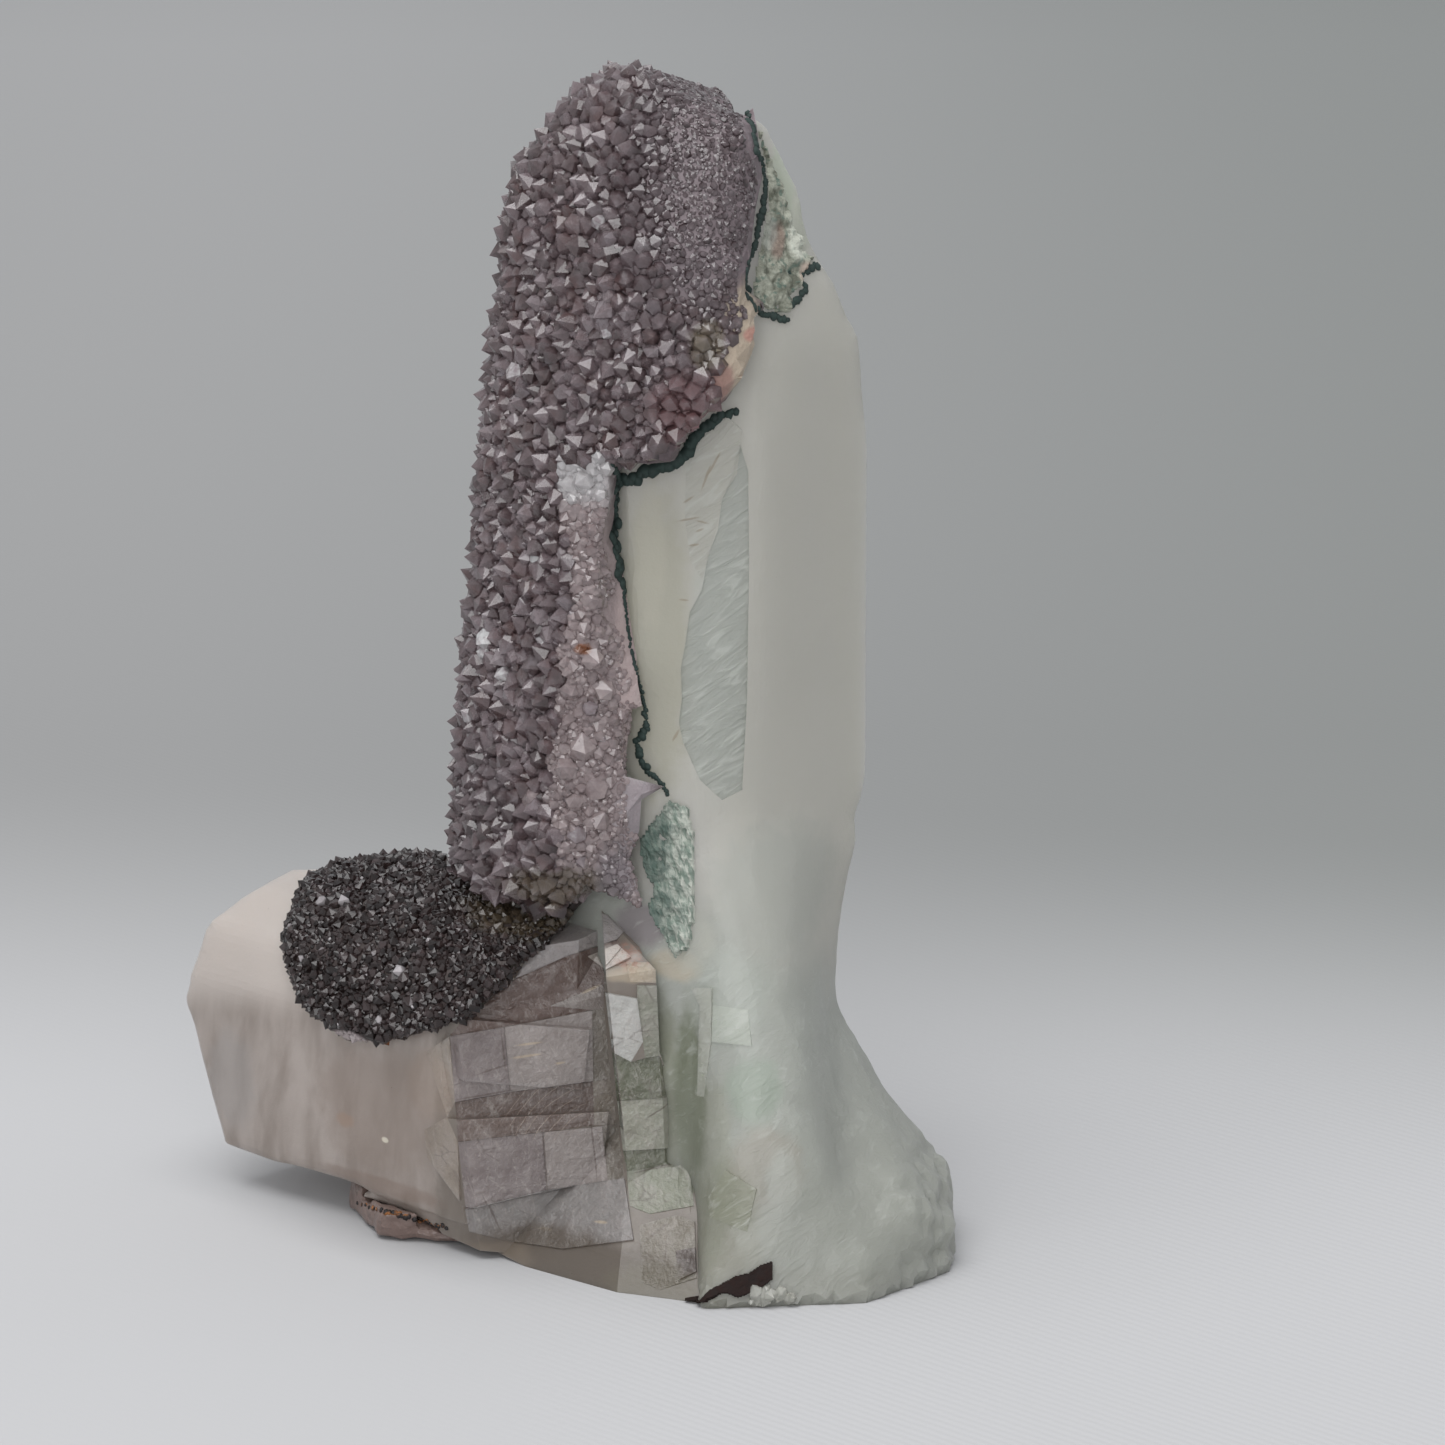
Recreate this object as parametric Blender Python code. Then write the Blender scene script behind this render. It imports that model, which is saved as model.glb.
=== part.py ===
"""Amethyst druse on two apophyllite crystals, one specimen about 78 mm tall.

A tall frosted pale-green crystal stands on a broken, flared foot. A shorter clear
crystal leans out to the left from its foot and ends in cleaved steps in front. A
crust of amethyst points wraps the left side and the top of the tall crystal, a
darker, finer crust lies on the clear crystal, a thin green rim of celadonite
follows the edge of the big crust and one chip of crust sits under the clear crystal.
Lengths are in millimetres up to the last step, which turns them into metres.
"""
import math
import random

import bmesh
import bpy
from mathutils import Matrix, Vector, noise

MM = 0.001
GAP = 0.3
# Middle of the specimen's box in plan, which becomes the origin.
CENTRE_X = -0.515
CENTRE_Y = 1.265
SEED = 7
# How sharply the outside of a crust turns from one outer face to the next.
CRUST_SHARPNESS = 12
# Lumps of a crust per millimetre, and how far its points stray, lean and sink in.
LUMP_RATE = 0.17
POINT_STRAY = 0.26
POINT_LEAN = 0.22
POINT_FOOT = 0.25
# Headings tried around a crust to measure its girth, and rows of points on each end.
GIRTH_HEADINGS = 36
END_REACH = 20.0

# Faces of a crystal: compass direction of the outward side in degrees (0 is right,
# 90 is away from the front), lean up from upright, and a point on the face.
TALL_PRISM = [
    (-45, 0.0, (19.3, 1.3, 30.0)),
    (45, 0.0, (19.3, 1.3, 30.0)),
    (135, 0.0, (-2.3, 1.3, 30.0)),
    (225, 0.0, (-2.3, 1.3, 30.0)),
    (-95, 3.5, (8.5, -6.0, 40.0)),
    (-45, 19.5, (19.1, 1.3, 60.5)),
    (45, 19.5, (19.1, 1.3, 60.5)),
    (135, 19.5, (-2.2, 1.3, 60.5)),
    (225, 19.5, (-2.2, 1.3, 60.5)),
    (-10, -10.0, (19.1, 1.3, 27.0)),
    (0, 90.0, (8.5, 1.3, 73.6)),
    (0, -90.0, (8.5, 1.3, -3.0)),
]
FOOT_LOBE = [
    (-10, 40.0, (20.4, -3.0, 9.3)),
    (0, -3.0, (24.8, -5.0, 2.0)),
    (-42, 4.0, (23.2, -10.9, 0.0)),
    (-58, 27.0, (21.4, -15.2, 0.0)),
    (-84, 19.0, (14.0, -9.0, 20.0)),
    (-86, 52.0, (15.0, -18.2, 0.0)),
    (-108, 30.0, (10.2, -16.8, 0.0)),
    (180, 0.0, (8.7, -10.0, 5.0)),
    (90, 20.0, (14.0, 9.5, 4.0)),
    (35, 24.0, (22.5, 3.5, 3.0)),
    (0, -90.0, (14.0, 0.0, -4.0)),
]
# Broken sweep between the tall prism and its flared foot.
FOOT_SWEEP = [
    (-15, 22.0, (16.9, -3.0, 13.0)),
    (-84, 19.0, (14.0, -8.8, 20.0)),
    (-40, 30.0, (14.6, -7.0, 20.0)),
    (180, 0.0, (8.9, -10.0, 5.0)),
    (90, 0.0, (14.0, 2.0, 4.0)),
    (0, -90.0, (14.0, 0.0, -5.0)),
]
# Both crystals are cut off flat underneath.
GREEN_TRIM = [
    (0, -90.0, (0.0, 0.0, 0.0)), (0, 90.0, (0.0, 0.0, 100.0)), (0, 0.0, (60.0, 0.0, 0.0)),
    (180, 0.0, (-60.0, 0.0, 0.0)), (90, 0.0, (0.0, 60.0, 0.0)), (-90, 0.0, (0.0, -60.0, 0.0)),
]
# Short clear crystal and the cleaved steps at its near end.
BAR = [
    (-132, -5.5, (-8.1, -7.0, 14.6)),
    (-132, 17.0, (-8.1, -7.0, 14.6)),
    (-132, 58.0, (-7.3, -6.1, 18.3)),
    (-132, 82.0, (-4.2, -2.6, 20.6)),
    (48, 8.0, (0.9, 3.0, 10.0)),
    (48, -83.0, (-6.5, -5.5, 2.5)),
    (138, -13.0, (-25.9, 9.4, 12.6)),
    (140, 14.0, (-25.9, 9.4, 12.6)),
    (150, 46.0, (-23.6, 11.6, 17.4)),
    (-42, 0.0, (3.0, -2.0, 10.0)),
    (-78, 2.0, (-8.1, -6.6, 14.6)),
]
BLOCK = [
    (-78, 2.0, (-8.1, -7.0, 14.6)),
    (-132, -5.5, (-7.9, -6.8, 14.6)),
    (-83, 33.0, (2.3, -4.9, 16.9)),
    (140, 35.0, (-7.5, -7.0, 15.5)),
    (0, 0.0, (10.4, 0.0, 10.0)),
    (90, 0.0, (0.0, 3.0, 10.0)),
    (180, -81.0, (-1.6, -8.0, 0.0)),
    (0, -90.0, (0.0, 0.0, -2.0)),
]
BLOCK_SKIRT = [
    (-130, 38.0, (-1.6, -9.2, 0.0)),
    (-111, 42.0, (6.7, -14.6, 0.0)),
    (-150, 12.0, (-6.6, -4.8, 1.0)),
    (0, 0.0, (11.4, 0.0, 10.0)),
    (90, 0.0, (0.0, 0.0, 3.0)),
    (180, -80.0, (-1.6, -8.0, -0.2)),
    (0, -90.0, (0.0, 0.0, -3.0)),
]
BLOCK_STEP = [
    (-83, 3.0, (5.5, -7.6, 12.0)),
    (180, -6.0, (2.5, -6.0, 20.0)),
    (-90, 50.0, (5.0, -7.3, 19.6)),
    (0, 0.0, (12.4, 0.0, 10.0)),
    (90, 0.0, (5.0, 1.0, 10.0)),
    (0, -90.0, (5.0, 0.0, 1.5)),
]
BLOCK_PANEL_LOW = [
    (-78, 2.0, (-8.1, -7.7, 14.6)),
    (-132, -5.5, (-7.9, -7.2, 14.6)),
    (99, 79.0, (-2.0, -6.0, 9.6)),
    (0, -6.0, (2.6, -6.0, 9.0)),
    (90, 0.0, (0.0, -1.0, 10.0)),
    (0, -81.0, (-2.0, -6.0, 4.4)),
]
BLOCK_PANEL_HIGH = [
    (-78, 2.0, (-8.1, -7.5, 14.6)),
    (-135, -5.5, (-6.9, -7.3, 14.6)),
    (-8, 81.0, (-2.0, -6.0, 15.7)),
    (0, -6.0, (1.4, -6.0, 15.0)),
    (90, 0.0, (0.0, -2.0, 10.0)),
    (172, -81.0, (-2.0, -6.0, 11.6)),
]
# Chip of crust under the clear crystal.
CHIP = [
    (-100, -12.0, (-9.0, -3.9, 1.6)),
    (-160, 6.0, (-13.0, -1.0, 1.6)),
    (80, 0.0, (-9.0, 2.4, 1.6)),
    (-20, 0.0, (-5.0, -2.0, 1.6)),
    (-100, 84.0, (-9.0, -3.0, 2.15)),
    (0, -90.0, (0.0, 0.0, 0.3)),
]

CLEAR_TRIM = [
    (0, -90.0, (0.0, 0.0, 0.0)), (0, 90.0, (0.0, 0.0, 100.0)), (0, 0.0, (8.4, 0.0, 0.0)),
    (180, 0.0, (-60.0, 0.0, 0.0)), (90, 0.0, (0.0, 60.0, 0.0)), (-90, 0.0, (0.0, -60.0, 0.0)),
]

# Outer faces of the big crust, offset from the tall crystal by its thickness.
CRUST_OUTER = [
    (225, 4.0, (-5.6, -2.4, 32.0)),
    (180, 5.0, (-8.3, 1.3, 30.0)),
    (135, 4.0, (-5.4, 4.6, 32.0)),
    (-95, 4.0, (7.0, -9.6, 56.0)),
    (-45, 10.0, (15.2, -6.4, 56.0)),
    (60, 4.0, (13.0, 10.5, 45.0)),
    (225, 24.0, (-2.4, -3.2, 66.0)),
    (135, 22.0, (-2.6, 5.4, 66.0)),
    (-95, 30.0, (7.0, -6.6, 70.5)),
    (20, 62.0, (9.0, 0.0, 75.6)),
    (200, 66.0, (3.0, 0.0, 76.8)),
    (0, -90.0, (0.0, 0.0, 13.0)),
]
CRUST_AXIS_LOW = (4.0, 1.0, 24.0)
CRUST_AXIS_HIGH = (5.0, 0.5, 64.0)
CRUST_POINT_SPACING = 2.3
CRUST_POINT_HEIGHT = 1.1
# Broken front of the crust below its overhanging upper part, across and up.
CRUST_BREAK = [
    (-0.6, 52.0), (0.2, 54.0), (1.4, 53.2), (2.9, 53.8), (9.0, 51.0), (9.0, 20.0), (-1.6, 20.0),
    (-0.9, 27.0), (-1.5, 31.0), (-0.6, 36.5), (-1.1, 42.0), (-0.3, 47.0),
]
CRUST_BREAK_AT = -7.9
# Right-hand edge of the big crust, seen from the front: across and up.
CRUST_EDGE_FRONT = [
    (11.3, 82.0), (11.6, 75.6), (12.6, 72.0), (12.8, 70.3), (12.1, 67.3), (11.5, 63.8), (12.6, 62.9),
    (12.7, 60.7), (11.2, 58.2), (10.2, 56.7), (7.7, 55.0), (7.2, 53.2), (4.2, 52.7), (3.2, 52.4),
    (3.1, 50.0), (2.8, 48.2), (3.5, 45.3), (4.3, 40.4), (4.9, 37.0), (4.1, 35.7), (5.1, 33.4),
    (6.3, 31.8), (4.7, 28.7), (5.7, 26.3), (4.9, 23.7), (2.0, 24.4), (-1.0, 23.5),
    (-14.0, 22.0), (-14.0, 5.0),
]
CRUST_EDGE_BACK = [
    (11.0, 82.0), (10.6, 74.0), (12.0, 69.0), (10.4, 64.0), (9.0, 60.5), (9.8, 55.0), (8.1, 50.2),
    (8.8, 44.5), (7.2, 40.0), (8.0, 34.6), (6.3, 30.1), (7.2, 26.0), (4.6, 22.3), (2.5, 17.0),
    (0.4, 14.8), (-3.5, 15.6), (-7.0, 12.5), (-12.0, 5.0),
]
# Where the front edge turns to the back edge, measured away from the front.
CRUST_EDGE_TURN = 1.3

# Room over the clear crystal that the fine crust fills.
CAP_ROOM = [
    (48, 8.0, (0.9, 3.0, 10.0)),
    (0, 90.0, (0.0, 0.0, 23.4)),
    (0, -90.0, (0.0, 0.0, 11.0)),
    (138, 0.0, (-27.0, 10.0, 12.6)),
    (-132, 0.0, (-14.0, -14.0, 14.0)),
    (0, 0.0, (3.4, -2.0, 10.0)),
    (90, 0.0, (0.0, 30.0, 10.0)),
    (-90, 0.0, (0.0, -30.0, 10.0)),
]
# Outer faces of the fine crust on the clear crystal.
CAP_OUTER = [
    (-132, 58.0, (-8.0, -6.9, 19.8)),
    (-132, 84.0, (-4.4, -2.9, 22.3)),
    (-132, 17.0, (-9.1, -8.1, 15.2)),
    (-70, 30.0, (-2.4, -7.6, 20.4)),
    (150, 30.0, (-20.6, 7.0, 18.6)),
    (48, 10.0, (1.4, 3.6, 14.0)),
    (-30, 10.0, (4.2, -5.0, 20.0)),
    (-132, -60.0, (-9.6, -8.0, 13.4)),
    (0, -90.0, (0.0, 0.0, 12.0)),
]
CAP_AXIS_LOW = (-8.0, 0.0, 16.5)
CAP_AXIS_HIGH = (-7.6, 0.0, 18.0)
CAP_POINT_SPACING = 1.55
CAP_POINT_HEIGHT = 0.6
# Outline of the fine crust as it shows from the front, at the plane CAP_OUTLINE_AT.
CAP_OUTLINE = [
    (-19.0, 22.3), (-18.4, 24.8), (-17.4, 26.4), (-15.4, 27.4), (-13.0, 27.6), (-9.0, 28.6), (3.0, 28.6),
    (2.4, 24.2), (0.4, 22.2), (-1.0, 20.6), (-2.4, 19.2), (-4.6, 17.6), (-8.0, 16.3), (-11.7, 15.2),
    (-14.5, 15.3), (-16.1, 16.6), (-17.6, 17.8), (-18.2, 19.6),
]
CAP_OUTLINE_AT = -8.0
VIEW_SLOPE = 0.3

# The rim follows the edge of the big crust on the tall crystal, inside these limits.
RIM_LIMITS = [(180, 0.0, (3.6, 0.0, 0.0)), (0, -90.0, (0.0, 0.0, 24.0))]
RIM_EDGE_NEAR = 0.34
RIM_WIDTH = 0.6
RIM_THICKNESS = 0.6
RIM_BRANCH = [
    (12.3, 64.4), (13.4, 63.3), (14.6, 64.6), (16.3, 65.6), (16.6, 64.6), (15.0, 63.5), (13.9, 62.1),
    (13.3, 62.0),
]
RIM_MOSS = [(6.9, 31.4), (8.4, 30.8), (8.6, 27.0), (8.1, 22.8), (6.0, 23.6), (6.5, 26.3), (5.9, 28.6)]

MATERIALS = {
    "green_crystal": ((0.62, 0.69, 0.63, 1.0), 0.45, 0.35),
    "clear_crystal": ((0.60, 0.55, 0.53, 1.0), 0.22, 0.45),
    "druse_crust": ((0.27, 0.22, 0.26, 1.0), 0.30, 0.0),
    "druse_cap": ((0.10, 0.08, 0.09, 1.0), 0.30, 0.0),
    "druse_chip": ((0.52, 0.40, 0.40, 1.0), 0.35, 0.0),
    "celadonite_rim": ((0.03, 0.09, 0.08, 1.0), 0.85, 0.0),
}


def outward(direction, lean):
    """Outward side of a face from its compass direction and its lean up."""
    a, b = math.radians(direction), math.radians(lean)
    return Vector((math.cos(a) * math.cos(b), math.sin(a) * math.cos(b), math.sin(b)))


def crystal_body(faces, grow=0.0):
    """Solid enclosed by flat faces, each moved outward by grow."""
    bm = bmesh.new()
    bmesh.ops.create_cube(bm, size=400.0)
    for direction, lean, point in faces:
        side = outward(direction, lean)
        whole = bm.verts[:] + bm.edges[:] + bm.faces[:]
        cut = bmesh.ops.bisect_plane(
            bm, geom=whole, plane_co=Vector(point) + side * grow, plane_no=side, clear_outer=True
        )
        rim = [item for item in cut["geom_cut"] if isinstance(item, bmesh.types.BMEdge)]
        if rim:
            bmesh.ops.contextual_create(bm, geom=rim)
    bmesh.ops.recalc_face_normals(bm, faces=bm.faces)
    return bm


def add_object(name, bm):
    """Object holding the mesh, with the mesh freed afterwards."""
    mesh = bpy.data.meshes.new(name)
    bmesh.ops.triangulate(bm, faces=bm.faces)
    bm.to_mesh(mesh)
    bm.free()
    obj = bpy.data.objects.new(name, mesh)
    bpy.context.scene.collection.objects.link(obj)
    return obj


def combine(target, other, operation):
    """Boolean of two objects; the second one is used up."""
    modifier = target.modifiers.new("combine", "BOOLEAN")
    modifier.operation = operation
    modifier.solver = "EXACT"
    modifier.object = other
    bpy.context.view_layer.update()
    result = bpy.data.meshes.new_from_object(
        target.evaluated_get(bpy.context.evaluated_depsgraph_get())
    )
    target.modifiers.remove(modifier)
    target.data = result
    bpy.data.objects.remove(other, do_unlink=True)


def joined(name, bodies, trim, grow=0.0):
    """One solid made of several overlapping crystals, cut off outside its trim."""
    whole = add_object(name, crystal_body(bodies[0], grow))
    for faces in bodies[1:]:
        combine(whole, add_object(name + "_add", crystal_body(faces, grow)), "UNION")
    combine(whole, add_object(name + "_trim", crystal_body(trim, grow)), "INTERSECT")
    return whole


def reach(faces, start, heading):
    """Distance from a start inside to the rounded outside along a heading."""
    total = 0.0
    for direction, lean, point in faces:
        side = outward(direction, lean)
        depth = (Vector(point) - start).dot(side)
        rate = heading.dot(side)
        if rate > 0.0:
            total += (rate / depth) ** CRUST_SHARPNESS
    return total ** (-1.0 / CRUST_SHARPNESS)


def skin_rings(faces, low, high, spacing, rng):
    """Rings of points over a rounded outside, from its foot to its top."""
    low, high = Vector(low), Vector(high)
    turns = max(3, round(END_REACH / spacing))
    levels = [(low, -90 + 90 * i / turns) for i in range(1, turns)]
    rise = (high - low).length
    steps = max(1, round(rise / (spacing * 0.87)))
    levels += [(low.lerp(high, i / steps), 0.0) for i in range(steps + 1)]
    levels += [(high, 90 * i / turns) for i in range(1, turns)]
    rings = [[low + reach(faces, low, Vector((0, 0, -1))) * Vector((0, 0, -1))]]
    for start, tilt in levels:
        trial = []
        for i in range(GIRTH_HEADINGS):
            heading = outward(360 * i / GIRTH_HEADINGS, tilt)
            trial.append(start + heading * reach(faces, start, heading))
        girth = sum((trial[i] - trial[i - 1]).length for i in range(GIRTH_HEADINGS))
        count = max(5, round(girth / spacing))
        phase = rng.random()
        ring = []
        for i in range(count):
            heading = outward(360 * (i + phase + 0.35 * rng.uniform(-1, 1)) / count, tilt)
            ring.append(start + heading * reach(faces, start, heading))
        rings.append(ring)
    rings.append([high + reach(faces, high, Vector((0, 0, 1))) * Vector((0, 0, 1))])
    return rings


def stitch(bm, lower, upper, centre):
    """Triangles between two rings of points with different counts."""
    def bearing(vert):
        return math.atan2(vert.co.y - centre.y, vert.co.x - centre.x) % math.tau

    lower = sorted(lower, key=bearing)
    upper = sorted(upper, key=bearing)
    i = j = 0
    while i < len(lower) or j < len(upper):
        a, b = lower[i % len(lower)], upper[j % len(upper)]
        turn_a = bearing(lower[(i + 1) % len(lower)]) + (math.tau if i + 1 >= len(lower) else 0.0)
        turn_b = bearing(upper[(j + 1) % len(upper)]) + (math.tau if j + 1 >= len(upper) else 0.0)
        step_lower = len(lower) > 1 and i < len(lower) and (turn_a <= turn_b or j >= len(upper))
        if len(upper) == 1 or step_lower:
            bm.faces.new((a, lower[(i + 1) % len(lower)], b))
            i += 1
            if len(upper) == 1 and i >= len(lower):
                break
        else:
            bm.faces.new((a, upper[(j + 1) % len(upper)], b))
            j += 1
            if len(lower) == 1 and j >= len(upper):
                break


def druse_body(name, faces, low, high, spacing, height, swell, seed):
    """Closed lumpy body whose whole outside is set with pointed crystals."""
    rng = random.Random(seed)
    bm = bmesh.new()
    rings = [
        [bm.verts.new(point) for point in ring] for ring in skin_rings(faces, low, high, spacing, rng)
    ]
    centre = (Vector(low) + Vector(high)) / 2
    for lower, upper in zip(rings, rings[1:]):
        stitch(bm, lower, upper, centre)
    bmesh.ops.recalc_face_normals(bm, faces=bm.faces)
    for vert in bm.verts:
        lump = noise.noise(vert.co * LUMP_RATE + Vector((seed, 0, 0)))
        aside = Vector((rng.uniform(-1, 1), rng.uniform(-1, 1), rng.uniform(-1, 1)))
        aside -= vert.normal * aside.dot(vert.normal)
        vert.co += vert.normal * swell * lump + aside * POINT_STRAY * spacing
    tips = bm.verts[:]
    ridges = bm.edges[:]
    bm.normal_update()
    pointing = {vert: vert.normal.copy() for vert in tips}
    bmesh.ops.poke(bm, faces=bm.faces[:], offset=-POINT_FOOT * height, center_mode="MEAN")
    bmesh.ops.rotate_edges(bm, edges=ridges, use_ccw=True)
    for vert in tips:
        lean = Vector((rng.uniform(-1, 1), rng.uniform(-1, 1), rng.uniform(-0.4, 1)))
        vert.co += pointing[vert] * height * rng.uniform(0.25, 1.0) + lean * POINT_LEAN * height
    bmesh.ops.recalc_face_normals(bm, faces=bm.faces)
    return add_object(name, bm)


def slab(name, outline, near, far, slope=0.0):
    """Plate with an outline given across and up, reaching from near to far."""
    bm = bmesh.new()
    corners = [bm.verts.new((x, near, z)) for x, z in outline]
    face = bm.faces.new(corners)
    grown = bmesh.ops.extrude_face_region(bm, geom=[face])
    moved = [item for item in grown["geom"] if isinstance(item, bmesh.types.BMVert)]
    bmesh.ops.translate(bm, verts=moved, vec=(0, far - near, -slope * (far - near)))
    bmesh.ops.recalc_face_normals(bm, faces=bm.faces)
    return add_object(name, bm)


def shifted(outline, by):
    """Outline moved right and a little down."""
    return [(x + 0.88 * by, z - 0.48 * by) for x, z in outline]


def largest_piece(obj):
    """Keep only the biggest closed piece of an object."""
    bm = bmesh.new()
    bm.from_mesh(obj.data)
    bmesh.ops.remove_doubles(bm, verts=bm.verts, dist=0.0005)
    bmesh.ops.dissolve_degenerate(bm, edges=bm.edges, dist=0.0005)
    left = set(bm.faces)
    groups = []
    while left:
        stack = [left.pop()]
        group = []
        while stack:
            face = stack.pop()
            group.append(face)
            for edge in face.edges:
                for other in edge.link_faces:
                    if other in left:
                        left.discard(other)
                        stack.append(other)
        groups.append(group)
    keep = set(max(groups, key=lambda group: sum(face.calc_area() for face in group)))
    bmesh.ops.delete(bm, geom=[face for face in bm.faces if face not in keep], context="FACES")
    bmesh.ops.triangulate(bm, faces=bm.faces)
    bm.to_mesh(obj.data)
    bm.free()


def finish(obj):
    """Centre the specimen, turn millimetres into metres and give the material."""
    obj.data.transform(Matrix.Translation((-CENTRE_X, -CENTRE_Y, 0.0)))
    obj.data.transform(Matrix.Scale(MM, 4))
    color, roughness, clear = MATERIALS[obj.name]
    material = bpy.data.materials.new(obj.name)
    material.use_nodes = True
    shader = material.node_tree.nodes["Principled BSDF"]
    shader.inputs["Base Color"].default_value = color
    shader.inputs["Roughness"].default_value = roughness
    shader.inputs["Transmission Weight"].default_value = clear
    obj.data.materials.clear()
    obj.data.materials.append(material)
    obj.data.name = obj.name


for old in list(bpy.data.objects):
    bpy.data.objects.remove(old, do_unlink=True)

green_parts = [TALL_PRISM, FOOT_SWEEP, FOOT_LOBE]
clear_parts = [BLOCK, BAR, BLOCK_SKIRT, BLOCK_STEP, BLOCK_PANEL_LOW, BLOCK_PANEL_HIGH]

green = joined("green_crystal", green_parts, GREEN_TRIM)
clear = joined("clear_crystal", clear_parts, CLEAR_TRIM)
combine(clear, joined("cutter", green_parts, GREEN_TRIM, GAP), "DIFFERENCE")
largest_piece(clear)

crust = druse_body("druse_crust", CRUST_OUTER, CRUST_AXIS_LOW, CRUST_AXIS_HIGH,
                   CRUST_POINT_SPACING, CRUST_POINT_HEIGHT, 0.9, SEED)
combine(crust, joined("cutter", green_parts, GREEN_TRIM, GAP), "DIFFERENCE")
combine(crust, joined("cutter", clear_parts, CLEAR_TRIM, GAP), "DIFFERENCE")
combine(crust, add_object("cutter", crystal_body(CAP_ROOM)), "DIFFERENCE")
front_outline = CRUST_EDGE_FRONT + [(60.0, 5.0), (60.0, 82.0)]
combine(crust, slab("cutter", front_outline, -60.0, CRUST_EDGE_TURN), "DIFFERENCE")
back_outline = CRUST_EDGE_BACK + [(60.0, 5.0), (60.0, 82.0)]
combine(crust, slab("cutter", back_outline, CRUST_EDGE_TURN - 0.01, 60.0), "DIFFERENCE")
combine(crust, slab("cutter", CRUST_BREAK, -60.0, CRUST_BREAK_AT), "DIFFERENCE")
largest_piece(crust)

cap = druse_body("druse_cap", CAP_OUTER, CAP_AXIS_LOW, CAP_AXIS_HIGH,
                 CAP_POINT_SPACING, CAP_POINT_HEIGHT, 0.4, SEED + 1)
combine(cap, joined("cutter", clear_parts, CLEAR_TRIM, GAP), "DIFFERENCE")
combine(cap, joined("cutter", green_parts, GREEN_TRIM, GAP), "DIFFERENCE")
combine(cap, add_object("cutter", crystal_body(CAP_ROOM, -GAP)), "INTERSECT")
outline = slab("cutter", CAP_OUTLINE, CAP_OUTLINE_AT - 20.0, CAP_OUTLINE_AT + 40.0, VIEW_SLOPE)
outline.data.transform(Matrix.Translation((0.0, 0.0, 20.0 * VIEW_SLOPE)))
combine(cap, outline, "INTERSECT")
largest_piece(cap)

chip = add_object("druse_chip", crystal_body(CHIP))
combine(chip, joined("cutter", clear_parts, CLEAR_TRIM, GAP), "DIFFERENCE")
largest_piece(chip)

rim = slab("celadonite_rim", shifted(front_outline, RIM_EDGE_NEAR), -40.0, CRUST_EDGE_TURN)
past_rim = shifted(front_outline, RIM_EDGE_NEAR + RIM_WIDTH)
combine(rim, slab("cutter", past_rim, -50.0, CRUST_EDGE_TURN + 5.0), "DIFFERENCE")
combine(rim, slab("rim_branch", RIM_BRANCH, -39.0, CRUST_EDGE_TURN - 0.5), "UNION")
combine(rim, slab("rim_moss", RIM_MOSS, -38.0, CRUST_EDGE_TURN - 0.7), "UNION")
rim_room = crystal_body(TALL_PRISM + RIM_LIMITS, GAP + RIM_THICKNESS)
combine(rim, add_object("cutter", rim_room), "INTERSECT")
combine(rim, joined("cutter", green_parts, GREEN_TRIM, GAP), "DIFFERENCE")
combine(rim, joined("cutter", clear_parts, CLEAR_TRIM, GAP), "DIFFERENCE")
largest_piece(rim)

for piece in (green, clear, crust, cap, chip, rim):
    finish(piece)
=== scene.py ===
import math
import random

import bmesh
import bpy
from mathutils import Matrix, Quaternion, Vector, noise
from mathutils.bvhtree import BVHTree


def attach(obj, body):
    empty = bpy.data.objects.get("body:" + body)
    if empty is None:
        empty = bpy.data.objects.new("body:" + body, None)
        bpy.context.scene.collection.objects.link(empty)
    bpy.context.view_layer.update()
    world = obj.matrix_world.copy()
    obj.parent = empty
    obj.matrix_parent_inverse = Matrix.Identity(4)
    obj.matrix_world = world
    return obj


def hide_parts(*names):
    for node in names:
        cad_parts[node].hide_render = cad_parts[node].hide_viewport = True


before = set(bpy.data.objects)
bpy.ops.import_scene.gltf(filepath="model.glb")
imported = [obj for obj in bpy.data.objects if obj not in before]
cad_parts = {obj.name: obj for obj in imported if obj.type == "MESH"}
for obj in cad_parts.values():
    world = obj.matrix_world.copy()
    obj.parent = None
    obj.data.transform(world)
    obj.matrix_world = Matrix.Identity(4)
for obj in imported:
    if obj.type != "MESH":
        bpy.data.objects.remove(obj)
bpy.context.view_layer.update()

mm = 0.001
chance = random.Random(23)


# ---------------------------------------------------------------------------------------
# The view. The specimen is seen from half a metre off, fifteen degrees above level. Every
# mark on it is placed by a point of the picture, followed along the line of sight to the
# crystal that carries it.
# ---------------------------------------------------------------------------------------
picture = 1445
camera = bpy.data.objects.new("camera", bpy.data.cameras.new("camera"))
camera.location = (0.010548, -0.473139, 0.160698)
camera.rotation_euler = (math.radians(75), 0, 0)
camera.data.sensor_width = 36
camera.data.lens = 36 * 7559 / picture
camera.data.clip_start = 0.01
bpy.context.scene.collection.objects.link(camera)
bpy.context.scene.camera = camera


def line_of_sight(across, down):
    """Direction in which a point of the picture lies, seen from the camera."""
    flat = Vector((across - picture / 2, picture / 2 - down, -7559))
    return (camera.rotation_euler.to_matrix() @ flat).normalized()


def at_depth(across, down, depth):
    """The place on a line of sight that lies a given depth, in mm, behind the middle."""
    way = line_of_sight(across, down)
    return camera.location + way * ((depth * mm - camera.location.y) / way.y)


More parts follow.
